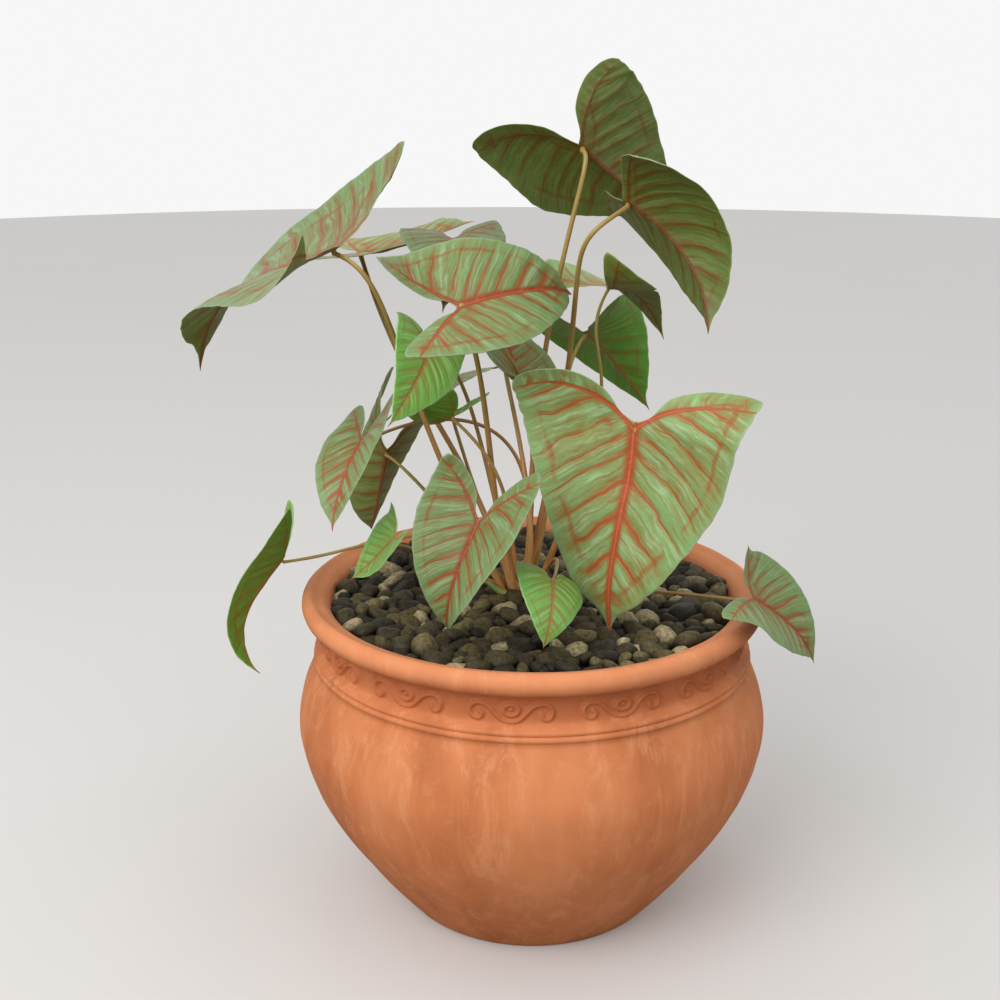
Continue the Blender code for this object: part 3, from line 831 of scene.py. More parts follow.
    def drill(self, pot: bpy.types.Object) -> None:
        """Cut the drain holes through the floor, as cylinders that stand out of it.

        Args:
            pot: The closed pot.
        """
        sides, stand_out = 32, 5.0
        ring, points, faces = np.arange(sides)[None], [], []
        for k, place in enumerate(math.radians(90) + full_turn(self.drain_holes)):
            profile = np.array([(self.drain_radius, -stand_out),
                                (self.drain_radius, self.floor_thickness + stand_out)])
            middle = (self.drain_circle * math.cos(place), self.drain_circle * math.sin(place), 0)
            points.append(turn_round(profile, sides) + middle)
            faces += [face + 2 * sides * k for face in (ring[:, ::-1], ring + sides,
                                                        grid_quads(2, sides))]
        cutter = add_object("drain_cutters", np.concatenate(points), faces)
        cutter.data.shade_flat()
        cut = pot.modifiers.new("drain_holes", "BOOLEAN")
        cut.object = cutter
        cut.solver = "EXACT"
        bpy.context.view_layer.update()
        evaluated = pot.evaluated_get(bpy.context.evaluated_depsgraph_get())
        drilled = bpy.data.meshes.new_from_object(evaluated)
        pot.modifiers.clear()
        pot.data = drilled
        bpy.data.objects.remove(cutter)


@dataclass
class Filling:
    """What fills the pot: mix, the gravel's bed, its pebbles, and the corm."""

    pot: Pot
    mix_top: float = 184.0
    bed_top: float = 206.0
    bed_hole: float = 18.2      # radius of the hole that the bed leaves round the corm
    corm_profile: tuple = ((0, 154), (13, 156), (22, 163), (24, 171), (21, 179), (17.5, 183),
                           (17.5, 206), (12, 210), (0, 212))
    corm_lumps: float = 0.03    # how far the corm's radius strays, as a share
    corm_lump: float = 14.0     # length of one lump
    bed_stone: float = 0.1      # the bed's place among the stones' colours
    bed_sink: float = 1.5       # how far the bed's middle level lies under its top
    bed_waves: tuple = ((1.6, 22.0), (1.0, 9.0))    # height and length of its two sets of waves
    pebbles: int = 400
    smallest: float = 5.0       # a pebble's half length
    largest: float = 12.0
    slimness: tuple = ((0.66, 0.95), (0.48, 0.75))  # its other half lengths over that, from and to
    boxiness: tuple = (2.2, 4.0)    # power of its outline: 2 is an ellipsoid
    dents: float = 0.10         # depth of one of its three dents, as a share
    nod: float = 0.5            # radians, how far off level it usually lies
    rounds: int = 90            # how often the pebbles push each other
    push: float = 0.35          # share of an overlap that one push takes away
    sink: float = 0.12          # share of the way to the surface that they move at each push
    packing: float = 0.93       # their size when they push, over their mean half length
    deepest: float = 4.0        # how far under the bed's top their middles may lie
    heights: tuple = (202.0, 209.0)  # range that the pebbles' middles start in
    spread: float = 131.0       # radius that the pebbles start within
    wall_clear: float = 130.5   # and that they stay within
    crown_clear: float = 15.5   # distance from the crown's axis that stays free
    gravel: RiverGravel = field(default_factory=RiverGravel)

    def wall(self, height: Array) -> Array:
        """Return the inner wall's radius at each height."""
        inside = smooth_curve(self.pot.inside, np.linspace(0, 1, 40))[::-1]
        return np.interp(height, inside[:, 1], inside[:, 0])

    def build(self) -> None:
        """Make the bed, the pebbles and the corm, and dress the mix."""
        stone = self.gravel.make()
        self.build_bed(stone)
        self.build_pebbles(stone)
        self.build_corm()
        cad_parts["potting_mix"].material_slots[0].material = PottingMix().make()

    def build_bed(self, stone: bpy.types.Material) -> None:
        """Make the small stones under the pebbles: a ring-shaped body with a knobbly top, whose
        height is the bed's level plus short waves.

        Args:
            stone: The gravel's material.
        """
        n, rings, clear = 192, 56, 2 * GAP
        turn, foot = full_turn(n), np.full(n, self.mix_top + GAP)
        circle = np.stack([np.cos(turn), np.sin(turn)], axis=1)
        inner = circle * self.bed_hole + np.array(CROWN_AXIS)
        outer = circle * (self.wall(self.bed_top) - clear)
        wall = [np.column_stack([circle * (self.wall(z) - clear), np.full(n, z)])
                for z in np.linspace(self.mix_top + GAP, self.bed_top, 6)]
        top = inner + np.linspace(1, 0, rings)[1:, None, None] * (outer - inner)
        place = np.concatenate([top, np.zeros((*top.shape[:2], 1))], axis=-1)
        (slow, long), (quick, short) = self.bed_waves
        place[..., 2] = (self.bed_top - self.bed_sink + slow * waves(place, long, 8)
                         + quick * np.abs(waves(place, short, 9)))
        points = np.concatenate([*wall, place.reshape(-1, 3), np.column_stack([inner, foot])])
        rows, i = len(points) // n, np.arange(n)
        last = (rows - 1) * n
        close = np.column_stack([last + i, last + (i + 1) % n, (i + 1) % n, i])
        add_piece("gravel_bed", points, [grid_quads(rows, n), close], [stone], "gravel",
                  fields={"stone": np.full(len(points), self.bed_stone)})

    def settle(self, rng: np.random.Generator) -> tuple[Array, Array]:
        """Place the pebbles.

        They start on a sunflower spiral over the bed, then push each other apart where they
        overlap, and stay inside the wall, outside the crown and near the surface.

        Args:
            rng: Source of the sizes and first moves.

        Returns:
            Centres, and half lengths along each pebble's three axes.
        """
        count, (low, high) = self.pebbles, self.heights
        long = self.smallest + (self.largest - self.smallest) * rng.beta(1.3, 2.0, count)
        half = np.column_stack([long, *(long * rng.uniform(*share, count)
                                        for share in self.slimness)])
        k = np.arange(count) + 0.5
        far, turn = self.spread * np.sqrt(k / count), k * math.pi * (3 - math.sqrt(5))
        centre = np.column_stack([far * np.cos(turn), far * np.sin(turn),
                                  rng.uniform(low, high, count)])
        centre += rng.normal(scale=(3, 3, 0), size=centre.shape)
        size = half.mean(axis=1) * self.packing
        for _ in range(self.rounds):
            apart = centre[:, None] - centre[None]
            reach = np.linalg.norm(apart, axis=-1) + np.eye(count) * 1e6
            lack = np.clip(size[:, None] + size[None] - reach, 0, None)
            centre += self.push * (apart / reach[..., None] * lack[..., None]).sum(axis=1)
            centre[:, 2] += self.sink * (self.bed_top + 1.0 - centre[:, 2])
            radius = np.hypot(centre[:, 0], centre[:, 1])
            most = self.wall_clear - 0.9 * size
            centre[:, :2] *= np.minimum(1, most / np.maximum(radius, 1))[:, None]
            away = centre[:, :2] - CROWN_AXIS
            gap = np.linalg.norm(away, axis=1)
            lack = np.clip(self.crown_clear + size - gap, 0, None)
            centre[:, :2] += away / np.maximum(gap, 0.1)[:, None] * lack[:, None]
            centre[:, 2] = np.clip(centre[:, 2], self.bed_top - self.deepest, high)
        return centre, half

    def build_pebbles(self, stone: bpy.types.Material) -> None:
        """Make the pebbles: ellipsoids drawn a little towards a box, dented by slow waves.

        A point in direction d lies at 1 / (|dx|^p + |dy|^p + |dz|^p)^(1/p), stretched to the
        pebble's half lengths and turned to lie nearly flat.

        Args:
            stone: The gravel's material.
        """
        rng = np.random.default_rng(5)
        centre, half = self.settle(rng)
        count, rows, columns = self.pebbles, 6, 12
        tilt = np.linspace(0, math.pi, rows + 2)[1:-1]
        profile = np.column_stack([np.sin(tilt), np.cos(tilt)])
        way = np.concatenate([turn_round(profile, columns), [(0, 0, 1), (0, 0, -1)]])
        power = rng.uniform(*self.boxiness, count)[:, None]
        radius = (np.abs(way)[None] ** power[..., None]).sum(-1) ** (-1 / power)
        for _ in range(3):
            wave = rng.normal(size=(count, 3)) * 1.7
            dent = np.sin(way @ wave.T + rng.uniform(0, math.tau, count)).T
            radius = radius * (1 + self.dents * dent)
        heading = rng.uniform(0, math.tau, count)
        nod, lean = (rng.normal(0, self.nod, count) for _ in range(2))
        turn = rotation(2, heading) @ rotation(1, nod) @ rotation(0, lean)
        local = way[None] * radius[..., None] * half[:, None]
        points = np.einsum("nij,nvj->nvi", turn, local) + centre[:, None]
        corners, last = len(way), rows * columns
        ring = np.arange(columns)
        caps = np.concatenate([fan(last, ring), fan(last + 1, last - columns + ring, flip=True)])
        shift = (np.arange(count) * corners)[:, None, None]
        faces = [(grid_quads(rows, columns)[:, ::-1] + shift).reshape(-1, 4),
                 (caps + shift).reshape(-1, 3)]
        own = np.repeat(rng.uniform(0, 1, count) ** 1.3, corners)
        add_piece("gravel_pebbles", points.reshape(-1, 3), faces, [stone], "gravel",
                  fields={"stone": own})

    def build_corm(self) -> None:
        """Make the corm: its profile turned round its axis, with lumps."""
        n = 72
        profile = smooth_curve(self.corm_profile, np.linspace(0, 1, 44))
        body = profile[1:-1]
        points = turn_round(body, n)
        lumps = self.corm_lumps * np.clip(waves(points, self.corm_lump, 12), -1, 1)
        points[:, :2] *= 1 + lumps[:, None]
        points = np.concatenate([points, [(0, 0, profile[0, 1]), (0, 0, profile[-1, 1])]])
        points[:, :2] += CROWN_AXIS
        last, ring = len(body) * n, np.arange(n)
        faces = [grid_quads(len(body), n), fan(last, ring, flip=True),
                 fan(last + 1, last - n + ring)]
        add_piece("corm", points, faces, [CormSkin().make()], "tuber")


# ---------------------------------------------------------------- leaves

@dataclass(frozen=True)
class Outline:
    """Flat outline of one half of a blade; places are in midribs, measured from the stalk."""

    width: float = 1.0    # factor on the half width ahead of the stalk
    taper: float = 0.12   # half width a fifth of the way back from the tip
    corner: tuple = (-0.14, 0.47)   # where the lobe's outer margin bulges most
    rear: tuple = (-0.50, 0.38)     # the lobe's end
    notch: float = 0.10   # half width of the gap between the lobes
    sinus: float = 0.03   # half width of the gap at the stalk


@dataclass(frozen=True)
class Leaf:
    """One leaf. Angles are in degrees; pairs are left half, right half."""

    name: str
    outline: Outline
    length: float         # stalk to tip, along the midrib
    at: tuple             # where the stalk meets the blade
    turn: tuple           # heading of the tip from +X, pitch (up is positive), roll
    fold: tuple           # rise of each half at the midrib
    curl: tuple           # further rise across half a midrib
    arch: tuple           # droop towards the tip: even part, and part that grows towards the tip
    lobes: tuple          # droop of each lobe, over half a midrib
    twist: float          # turn of the tip about the midrib
    foot: int             # stalk's place on the crown
    rise: tuple           # stalk's first control point, from its foot
    meet: tuple           # stalk's second control point, from the blade
    stalk: tuple = (1.3, 2.0)   # stalk's radius at the blade and at the foot


ARROW = Outline()
BROAD = Outline(1.1, 0.14, (-0.22, 0.56), (-0.46, 0.52), 0.14, 0.055)
ROUND = Outline(1.2, 0.11, (-0.20, 0.62), (-0.22, 0.40), 0.10)
LONG = Outline(0.8, 0.175, (-0.07, 0.41), (-0.23, 0.39), 0.25, 0.04)
SLIM = Outline(0.8, 0.12, (-0.14, 0.52), (-0.46, 0.42), 0.14)

LEAVES = [
    Leaf("top_back", ARROW, 118, (30, 20, 496), (43, -36, -21), (25, 55), (-100, 5),
         (-25, 20), (30, -60), -10, 1, (-6, 21, 175), (11, -29, 2), (1.5, 2.4)),
    Leaf("top_right", ROUND, 98, (56, -15, 466), (2, -29, -33), (20, 30), (5, -50),
         (60, 10), (-80, 10), -20, 2, (54, 30, 226), (-53, -40, -27), (1.5, 2.4)),
    Leaf("back_right_high", SLIM, 78, (49, 48, 406), (59, -5, -26), (30, -40), (40, 35),
         (25, 80), (35, -75), -5, 8, (76, 20, 156), (-29, -36, -42), (1.0, 1.5)),
    Leaf("back_right_low", ARROW, 101, (39, 138, 358), (70, -18, -38), (65, -30), (-40, 75),
         (75, 10), (-20, 0), -20, 9, (18, 13, 76), (-22, -32, -19)),
    Leaf("top_left", LONG, 180, (-120, -30, 441), (137, -22, -1), (-10, 25), (-20, 45),
         (-45, 105), (-100, -20), 5, 14, (-77, -4, 158), (41, -40, -8), (1.5, 2.4)),
    Leaf("left_back", ARROW, 95, (-116, 105, 419), (-29, 7, 7), (20, 10), (-35, 0),
         (-40, 30), (-5, 10), 10, 4, (-43, 103, 96), (41, -132, -84), (1.5, 2.4)),
    Leaf("center_back", ARROW, 69, (-50, 0, 443), (-88, -7, -13), (20, 5), (-15, -20),
         (40, 20), (-5, 25), -5, 6, (15, 23, 188), (31, -120, -81)),
    Leaf("center", ARROW, 90, (-43, -60, 413), (22, 12, 52), (0, 35), (-5, -25),
         (25, 30), (-70, 10), 25, 5, (-18, 15, 28), (19, 63, -63), (1.5, 2.4)),
    Leaf("hidden_back", ARROW, 69, (-63, 60, 337), (55, 10, -26), (5, 5), (-20, -25),
         (30, -15), (5, 25), 10, 11, (-33, 47, 52), (8, -2, -1), (1.1, 1.8)),
    Leaf("inner_left", ARROW, 54, (-64, -40, 381), (-109, -44, -70), (20, -10), (-15, -5),
         (40, -15), (10, 40), -25, 3, (-20, 18, 66), (24, 111, -19), (1.1, 1.8)),
    Leaf("left", ARROW, 62, (-108, -15, 319), (-123, -39, 11), (20, 10), (5, -15),
         (25, 10), (-5, 5), -15, 10, (26, 76, 121), (30, 48, 8), (1.1, 1.8)),
    Leaf("back_left", ARROW, 104, (-101, 100, 279), (110, -59, 18), (30, 40), (95, 35),
         (10, -45), (-10, 55), -35, 12, (-29, 4, 34), (16, -38, 4), (1.1, 1.8)),
    Leaf("inner_back", ARROW, 45, (-51, 0, 331), (147, -30, 14), (20, 15), (0, 25),
         (-25, -45), (-30, 0), 5, 0, (-12, 3, 43), (43, -11, -36), (1.1, 1.8)),
    Leaf("inner_right", ARROW, 60, (-10, -13, 360), (104, 32, 30), (15, 15), (-5, 15),
         (5, -5), (-35, 5), -15, 17, (19, -40, 66), (-24, 117, 27)),
    Leaf("front_right", BROAD, 131, (57, -80, 343), (95, -86, -118), (-25, 15), (20, 35),
         (-60, 75), (90, -60), -5, 19, (23, -3, 86), (17, 21, 8), (1.5, 2.4)),
    Leaf("front_left", ARROW, 77, (-34, -90, 289), (-136, -55, -24), (40, 15), (-20, 5),
         (20, 55), (5, -35), 15, 16, (-3, -3, 66), (-4, 32, -6)),
    Leaf("front_small", ARROW, 46, (10, -100, 257), (-88, -17, -15), (0, 5), (-40, -10),
         (60, 30), (45, 35), 0, 18, (23, -9, 51), (3, 28, -9), (1.0, 1.5)),
    Leaf("rim_right", ARROW, 71, (136, -60, 230), (21, -33, 8), (50, -10), (-10, -10),
         (15, 20), (-75, 45), 25, 7, (6, -19, 11.5), (-15, 7, 1), (1.0, 1.5)),
    Leaf("rim_left", SLIM, 84, (-162, -10, 238), (-157, -46, 20), (25, 15), (0, -10),
         (0, 90), (-40, -30), 20, 13, (-92, -8, 50), (68, 11, 6), (1.0, 1.5)),
    Leaf("rim_inner_left", ARROW, 43, (-88, -30, 259), (159, -49, -21), (-5, 30), (10, 0),
         (-5, -5), (5, -60), -15, 15, (-41, -9, 23), (22, 13, 9), (1.0, 1.5)),
]

# what sets single leaves apart from the rest
YOUNG_LEAVES = {"inner_left", "front_small", "rim_inner_left", "rim_left", "back_right_low",
                "inner_back"}
USUAL_REDNESS = 0.35
REDDEST_LEAVES = {"center": 1.0, "front_right": 0.9, "front_left": 0.7, "top_left": 0.6}
# each leaf's lightness: partly its tone, partly painted light and shade for how lit it stands
LEAF_TONE_AND_PAINTED_LIGHT = {"front_left": 0.70, "left": 0.82, "center_back": 0.55, "center": 0.80,
               "top_left": 0.72, "inner_left": 1.6, "rim_right": 0.78, "back_right_high": 1.4,
               "back_left": 1.2, "inner_back": 1.15, "front_small": 0.9}
# painted light on the underside of top_left, which lies in shadow
UNDER_PAINTED_LIGHT = {"top_left": 1.5}
VEIN_SKEWS = {"front_right": 0.1, "front_left": 0.05, "left": 0.1, "center": -0.1}
SLENDER_STALKS = {"back_right_high", "back_right_low", "back_left"}


def half_outline(outline: Outline, t: Array) -> Array:
    """Return the flat half outline.

    Args:
        outline: The kind of blade.
        t: Places from the tip (0) round the lobe to the sinus (1).

    Returns:
        Points on one smooth curve, in midribs.
    """
    w, (rear_x, rear_y) = outline.width, outline.rear
    points = [(1, 0), (0.93, 0.018), (0.80, outline.taper * w), (0.50, 0.32 * w),
              (0.16, 0.46 * w), outline.corner, (rear_x, rear_y), (0.45 * rear_x, outline.notch),
              (-0.06, outline.sinus), (-0.04, 0)]
    return smooth_curve(points, t)


def bend_blade(leaf: Leaf, x: Array, y: Array) -> Array:
    """Bend flat blade points into the leaf's shape.

    Across the leaf, each half leaves the midrib at its fold angle and turns further at an even
    rate, its curl. Along the leaf, the midrib's angle falls by arch[0] x + arch[1] x squared ahead
    of the stalk, and each lobe droops at an even rate behind it. The whole turns about the midrib
    by twist times x.

    Args:
        leaf: The leaf.
        x: Places along the midrib, in midribs.
        y: Places to the left of it, in midribs.

    Returns:
        Points in midribs, in the leaf's own axes.
    """
    straight = 0.001            # slower turns than this are given this rate, to divide by it
    end = 1.02                  # the midrib is followed a little past the tip
    left = y >= 0
    fold, curl = (np.where(left, *np.radians(pair)) for pair in (leaf.fold, leaf.curl))
    rate = np.where(np.abs(curl) < straight, straight, 2 * curl)
    reach = np.abs(y)
    across = (np.sin(fold + rate * reach) - np.sin(fold)) / rate * np.where(left, 1, -1)
    lift = (np.cos(fold) - np.cos(fold + rate * reach)) / rate

    even, late = np.radians(leaf.arch)
    steps = np.linspace(0, end, 60)
    slope = even * steps + late * steps**2
    spine_x, spine_z = (np.concatenate([[0], np.cumsum((f[1:] + f[:-1]) / 2 * steps[1])])
                        for f in (np.cos(slope), -np.sin(slope)))
    blend = 0.5 + 0.5 * np.tanh(y / 0.08)
    droop = 2 * np.radians(leaf.lobes[0] * blend + leaf.lobes[1] * (1 - blend))
    droop = np.where(np.abs(droop) < straight, straight, droop)
    ahead = x >= 0
    front = np.clip(x, 0, end)
    angle = np.where(ahead, even * front + late * front**2, droop * x)
    mid_x = np.where(ahead, np.interp(front, steps, spine_x), np.sin(droop * x) / droop)
    mid_z = np.where(ahead, np.interp(front, steps, spine_z), (np.cos(droop * x) - 1) / droop)

    twist = math.radians(leaf.twist) * x
    side = across * np.cos(twist) - lift * np.sin(twist)
    lift = across * np.sin(twist) + lift * np.cos(twist)
    return np.stack([mid_x + lift * np.sin(angle), side, mid_z + lift * np.cos(angle)], axis=-1)


def leaf_axes(leaf: Leaf) -> Array:
    """Return the leaf's axes at the stalk as rows: towards the tip, to the left, out of the top."""
    heading, pitch, roll = np.radians(leaf.turn)
    return (rotation(2, heading) @ rotation(1, -pitch) @ rotation(0, roll)).T


@dataclass
class Veins:
    """The veins of one blade: a midrib, a vein down each lobe, and side veins off all three, which
    bow towards the tip. Places are in midribs."""

    leaf: Leaf
    on_rib: float = 6.1         # side veins along each side of the midrib
    on_lobe: float = 4.0        # and along a lobe vein
    lean: tuple = (0.50, 0.80)  # how far a side vein leans forward: at the stalk, and more ahead
    skew: float = 0.0           # how much more those of the right half lean than the left's
    bow: float = 0.5            # how much further it bends forward on its way out
    rib_taper: float = 0.68     # share of its width that the midrib loses over its length
    lobe_width: float = 0.55    # a lobe vein's width, as a share of the midrib's
    lobe_taper: float = 0.75
    thinnest: float = 0.25      # a main vein's least width, as a share
    side_width: float = 0.6     # a side vein's width, as a share of the midrib's
    side_taper: float = 2.4     # and how fast it thins on its way out
    side_thinnest: float = 0.22

    @property
    def rib_width(self) -> float:
        """Half the midrib's width at the stalk, in mm."""
        return 0.35 + 0.0155 * self.leaf.length

    @property
    def lobe_end(self) -> Array:
        """The lobe vein's end in straightened places."""
        x, y = np.array(self.leaf.outline.rear) * (0.74, 0.93)
        return np.array([x - self.bow * y**2, y])

    def straighten(self, x: Array, y: Array) -> tuple[Array, Array]:
        """Return places in which the veins' bow is taken out: x - bow y^2, and |y|."""
        return x - self.bow * y**2, np.abs(y)

    def rib(self, x: Array, y: Array) -> Array:
        """Return the distance from the midrib in its half widths, which shrink towards the tip."""
        width = self.rib_width * np.clip(1 - self.rib_taper * x, self.thinnest, 1)
        return np.where(x >= 0, y, np.copysign(np.hypot(x, y), y)) * self.leaf.length / width

    def lobe(self, x: Array, y: Array) -> Array:
        """Measure the way to the lobe's vein in its half widths, which shrink on its way.

        Args:
            x: Places along the midrib.
            y: Places to the left of it.

        Returns:
            The distance, with the side of the vein as its sign.
        """
        end = self.lobe_end
        size = np.linalg.norm(end)
        x, reach = self.straighten(x, y)
        along = (x * end[0] + reach * end[1]) / size**2
        off = (x * end[1] - reach * end[0]) / size
        away = np.where(along > 0, off, np.copysign(np.hypot(x, reach), off))
        thinned = np.clip(1 - self.lobe_taper * along, self.thinnest, 1)
        return away * self.leaf.length / (self.lobe_width * self.rib_width * thinned)

    def away(self, x: Array, y: Array) -> Array:
        """Measure the way to the nearest main vein.

        Args:
            x: Places along the midrib.
            y: Places to the left of it.

        Returns:
            The distance in mm.
        """
        end = self.lobe_end
        rib = np.hypot(np.minimum(x, 0), y)
        x, reach = self.straighten(x, y)
        along = np.clip((x * end[0] + reach * end[1]) / (end @ end), 0, 1)
        lobe = np.hypot(x - along * end[0], reach - along * end[1])
        return np.minimum(rib, lobe) * self.leaf.length

    def phase(self, x: Array, y: Array) -> Array:
        """Number the side veins.

        In straightened places, a line leaves the midrib at x0 = (x - lean |y|) / (1 + lean1 |y|)
        ahead of the first side vein, where lean is lean0 less the skew on the left half and more
        on the right. The number is on_rib x0^0.75, so that the veins crowd at the stalk. Behind
        it a line leaves the lobe's vein at the share s of its length, in a direction that turns
        with s, and the number is -on_lobe s^0.7. The share is found step by step.

        Args:
            x: Places along the midrib.
            y: Places to the left of it.

        Returns:
            A number that is whole on each side vein.
        """
        lean = self.lean[0] - self.skew * np.sign(y)
        x, reach = self.straighten(x, y)
        start = (x - lean * reach) / (1 + self.lean[1] * reach)
        front = self.on_rib * np.clip(start, 0, None) ** 0.75
        end_x, end_y = self.lobe_end
        inner = x * end_y - reach * end_x < 0
        first = np.degrees(np.arctan2(1, lean))
        share = np.full_like(x, 0.4)
        for _ in range(14):
            way = np.radians(np.where(inner, 186 + 20 * share, first + 56 * share))
            cross = end_x * np.sin(way) - end_y * np.cos(way)
            cross = np.where(np.abs(cross) < 0.02, 0.02, cross)
            found = (x * np.sin(way) - reach * np.cos(way)) / cross
            share = 0.5 * share + 0.5 * np.clip(found, 0, 1.6)
        return np.where(start > 0, front, -self.on_lobe * share**0.7)

    def reach(self, x: Array, y: Array) -> Array:
        """Measure one step of phase in side vein half widths.

        It is the leaf's length over the phase's slope, divided by a half width that shrinks away
        from the main veins.

        Args:
            x: Places along the midrib.
            y: Places to the left of it.

        Returns:
            Half widths in one step.
        """
        h = 0.003
        side = y + np.copysign(2 * h, y)
        slope = np.hypot(self.phase(x + h, side) - self.phase(x - h, side),
                         self.phase(x, side + h) - self.phase(x, side - h)) / (2 * h)
        out = self.away(x, y) / self.leaf.length
        thinned = np.clip(1 - self.side_taper * out, self.side_thinnest, 1)
        width = self.side_width * self.rib_width * thinned
        return self.leaf.length / np.clip(slope, 2.5, 40) / width


@dataclass
class Blade:
    """A leaf's blade: two skins a fraction of a millimetre apart, puffed between the side veins,
    with the main veins sunk in on top and raised underneath. Heights are in mm."""

    leaf: Leaf
    skins: list[bpy.types.Material]
    redness: float              # how far the main veins' red bleeds into the blade
    shade: float                # top's lightness: tone, with painted light and shade
    under: float                # and underneath, with painted light and shade
    pole: float = 0.12          # place on the midrib, in midribs, that the outline shrinks to
    thickness: float = 0.55
    thinning: float = 0.45      # how much of it is lost at the margin
    puff: float = 0.55          # height between side veins
    wander: float = 0.5         # slow waves of the whole blade
    wander_length: float = 38.0
    ruffle: float = 0.6         # the margin's waves
    groove: float = 0.35        # depth of the main veins on top
    ridge: float = 0.9          # and their height underneath
    full_size: float = 95.0     # length from which a blade has these heights in full
    roughness: float = 0.003    # how far the margin strays, as a share of its way from the pole
    hem: float = 0.085          # way of the gathering vein from the margin, in midribs

    def surface(self, x: Array, y: Array) -> Array:
        """Return the blade's middle surface in the frame of the part."""
        leaf = self.leaf
        return bend_blade(leaf, x, y) * leaf.length @ leaf_axes(leaf) + np.array(leaf.at)

    def normals(self, x: Array, y: Array) -> Array:
        """Work out normals from central differences over a short way.

        Args:
            x: Places along the midrib.
            y: Places to the left of it.

        Returns:
            Unit normals out of the top.
        """
        h = 0.004
        along = self.surface(x + h, y) - self.surface(x - h, y)
        across = self.surface(x, y + h) - self.surface(x, y - h)
        normal = np.cross(along, across)
        return normal / np.linalg.norm(normal, axis=-1, keepdims=True)

    def margin(self, seed: int) -> Array:
        """Join both halves of the flat outline, a little rough by four short waves.

        Args:
            seed: Where the waves start.

        Returns:
            The outline as one ring, in midribs.
        """
        half = half_outline(self.leaf.outline, np.linspace(0, 1, int(65 + 0.3 * self.leaf.length)))
        rim = np.concatenate([half, half[-2:0:-1] * (1, -1)])
        around = np.arange(len(rim)) / len(rim)
        rough = sum(np.sin(math.tau * (k * around + (seed * k % 11) / 11))
                    for k in (11, 19, 31, 47))
        return (self.pole, 0) + (rim - (self.pole, 0)) * (1 + self.roughness * rough[:, None])

    def build(self) -> None:
        """Make the blade: rings of its outline shrunk towards the pole, bent, then set off along
        the normals. Both sides move with the puffs and the margin's waves; the underside also
        stands off by the ridge along each main vein."""
        leaf, veins = self.leaf, Veins(self.leaf, skew=VEIN_SKEWS.get(self.leaf.name, 0.0))
        seed = sum(map(ord, leaf.name))
        rim = self.margin(seed)
        rings, columns = int(24 + 0.2 * leaf.length), len(rim)
        share = np.linspace(0, 1, rings + 1)[1:, None]
        x = np.concatenate([[self.pole], (self.pole + (rim[:, 0] - self.pole) * share).ravel()])
        y = np.concatenate([[0.0], (rim[:, 1] * share).ravel()])
        out = np.concatenate([[0.0], np.repeat(share.ravel(), columns)])
        around = np.concatenate([[0.0], np.tile(np.arange(columns) / columns, rings)])
        flat = np.column_stack([x, y]) * leaf.length
        edge = np.concatenate([
            np.linalg.norm(part[:, None] - rim * leaf.length, axis=-1).min(axis=1)
            for part in np.array_split(flat, 8)])
        rib, lobe, phase = veins.rib(x, y), veins.lobe(x, y), veins.phase(x, y)

        # heights along the normals
        small = min(1.0, leaf.length / self.full_size)
        near = np.minimum(np.abs(rib), np.abs(lobe))
        inward = (1 - np.exp(-edge / 6)) * (1 - np.exp(-near / 2.5))
        puffs = self.puff * (0.5 - 0.5 * np.cos(math.tau * phase)) * inward
        level = np.column_stack([flat, np.zeros(len(flat))])
        wander = self.wander * waves(level, self.wander_length, seed)
        ruffle = self.ruffle * out**7 * np.sin(math.tau * around) ** 2 \
            * np.sin(math.tau * ((9 + seed % 5) * around + (seed % 7) / 7))
        groove = self.groove * np.exp(-(near / 1.2) ** 2)
        ridge = self.ridge * np.exp(-(near / 1.1) ** 2) * np.clip(1.1 - out, 0.15, 1)
        both = puffs + wander + ruffle
        half_thick = self.thickness / 2 * (1 - self.thinning * out**10)
        middle, normal = self.surface(x, y), self.normals(x, y)
        upper = middle + normal * (small * (both - groove) + half_thick)[:, None]
        under = middle + normal * (small * (both - ridge) - half_thick)[:, None]

        count = len(x)
        quads, hub = grid_quads(rings, columns, 1), fan(0, 1 + np.arange(columns))
        last = count - columns + np.arange(columns)
        after = np.roll(last, -1)
        strip = np.column_stack([last, last + count, after + count, after])
        faces = [quads[:, ::-1], hub, quads + count, hub[:, ::-1] + count, strip]
        choice = np.concatenate([np.full(len(f), side) for f, side in zip(faces, (0, 0, 1, 1, 0))])
        fields = {"phase": phase, "rib": rib, "lobe": lobe, "edge": edge,
                  "hem": edge / (self.hem * leaf.length), "away": veins.away(x, y),
                  "reach": veins.reach(x, y), "red": np.full(count, self.redness)}
        fields = {key: np.tile(values, 2) for key, values in fields.items()}
        # tone with painted light and shade, for the top and the underside
        fields["shade"] = np.repeat([self.shade, self.under], count)
        add_piece(f"blade_{leaf.name}", np.concatenate([upper, under]), faces, self.skins,
                  f"leaf_{leaf.name}_blade", fields, choice)


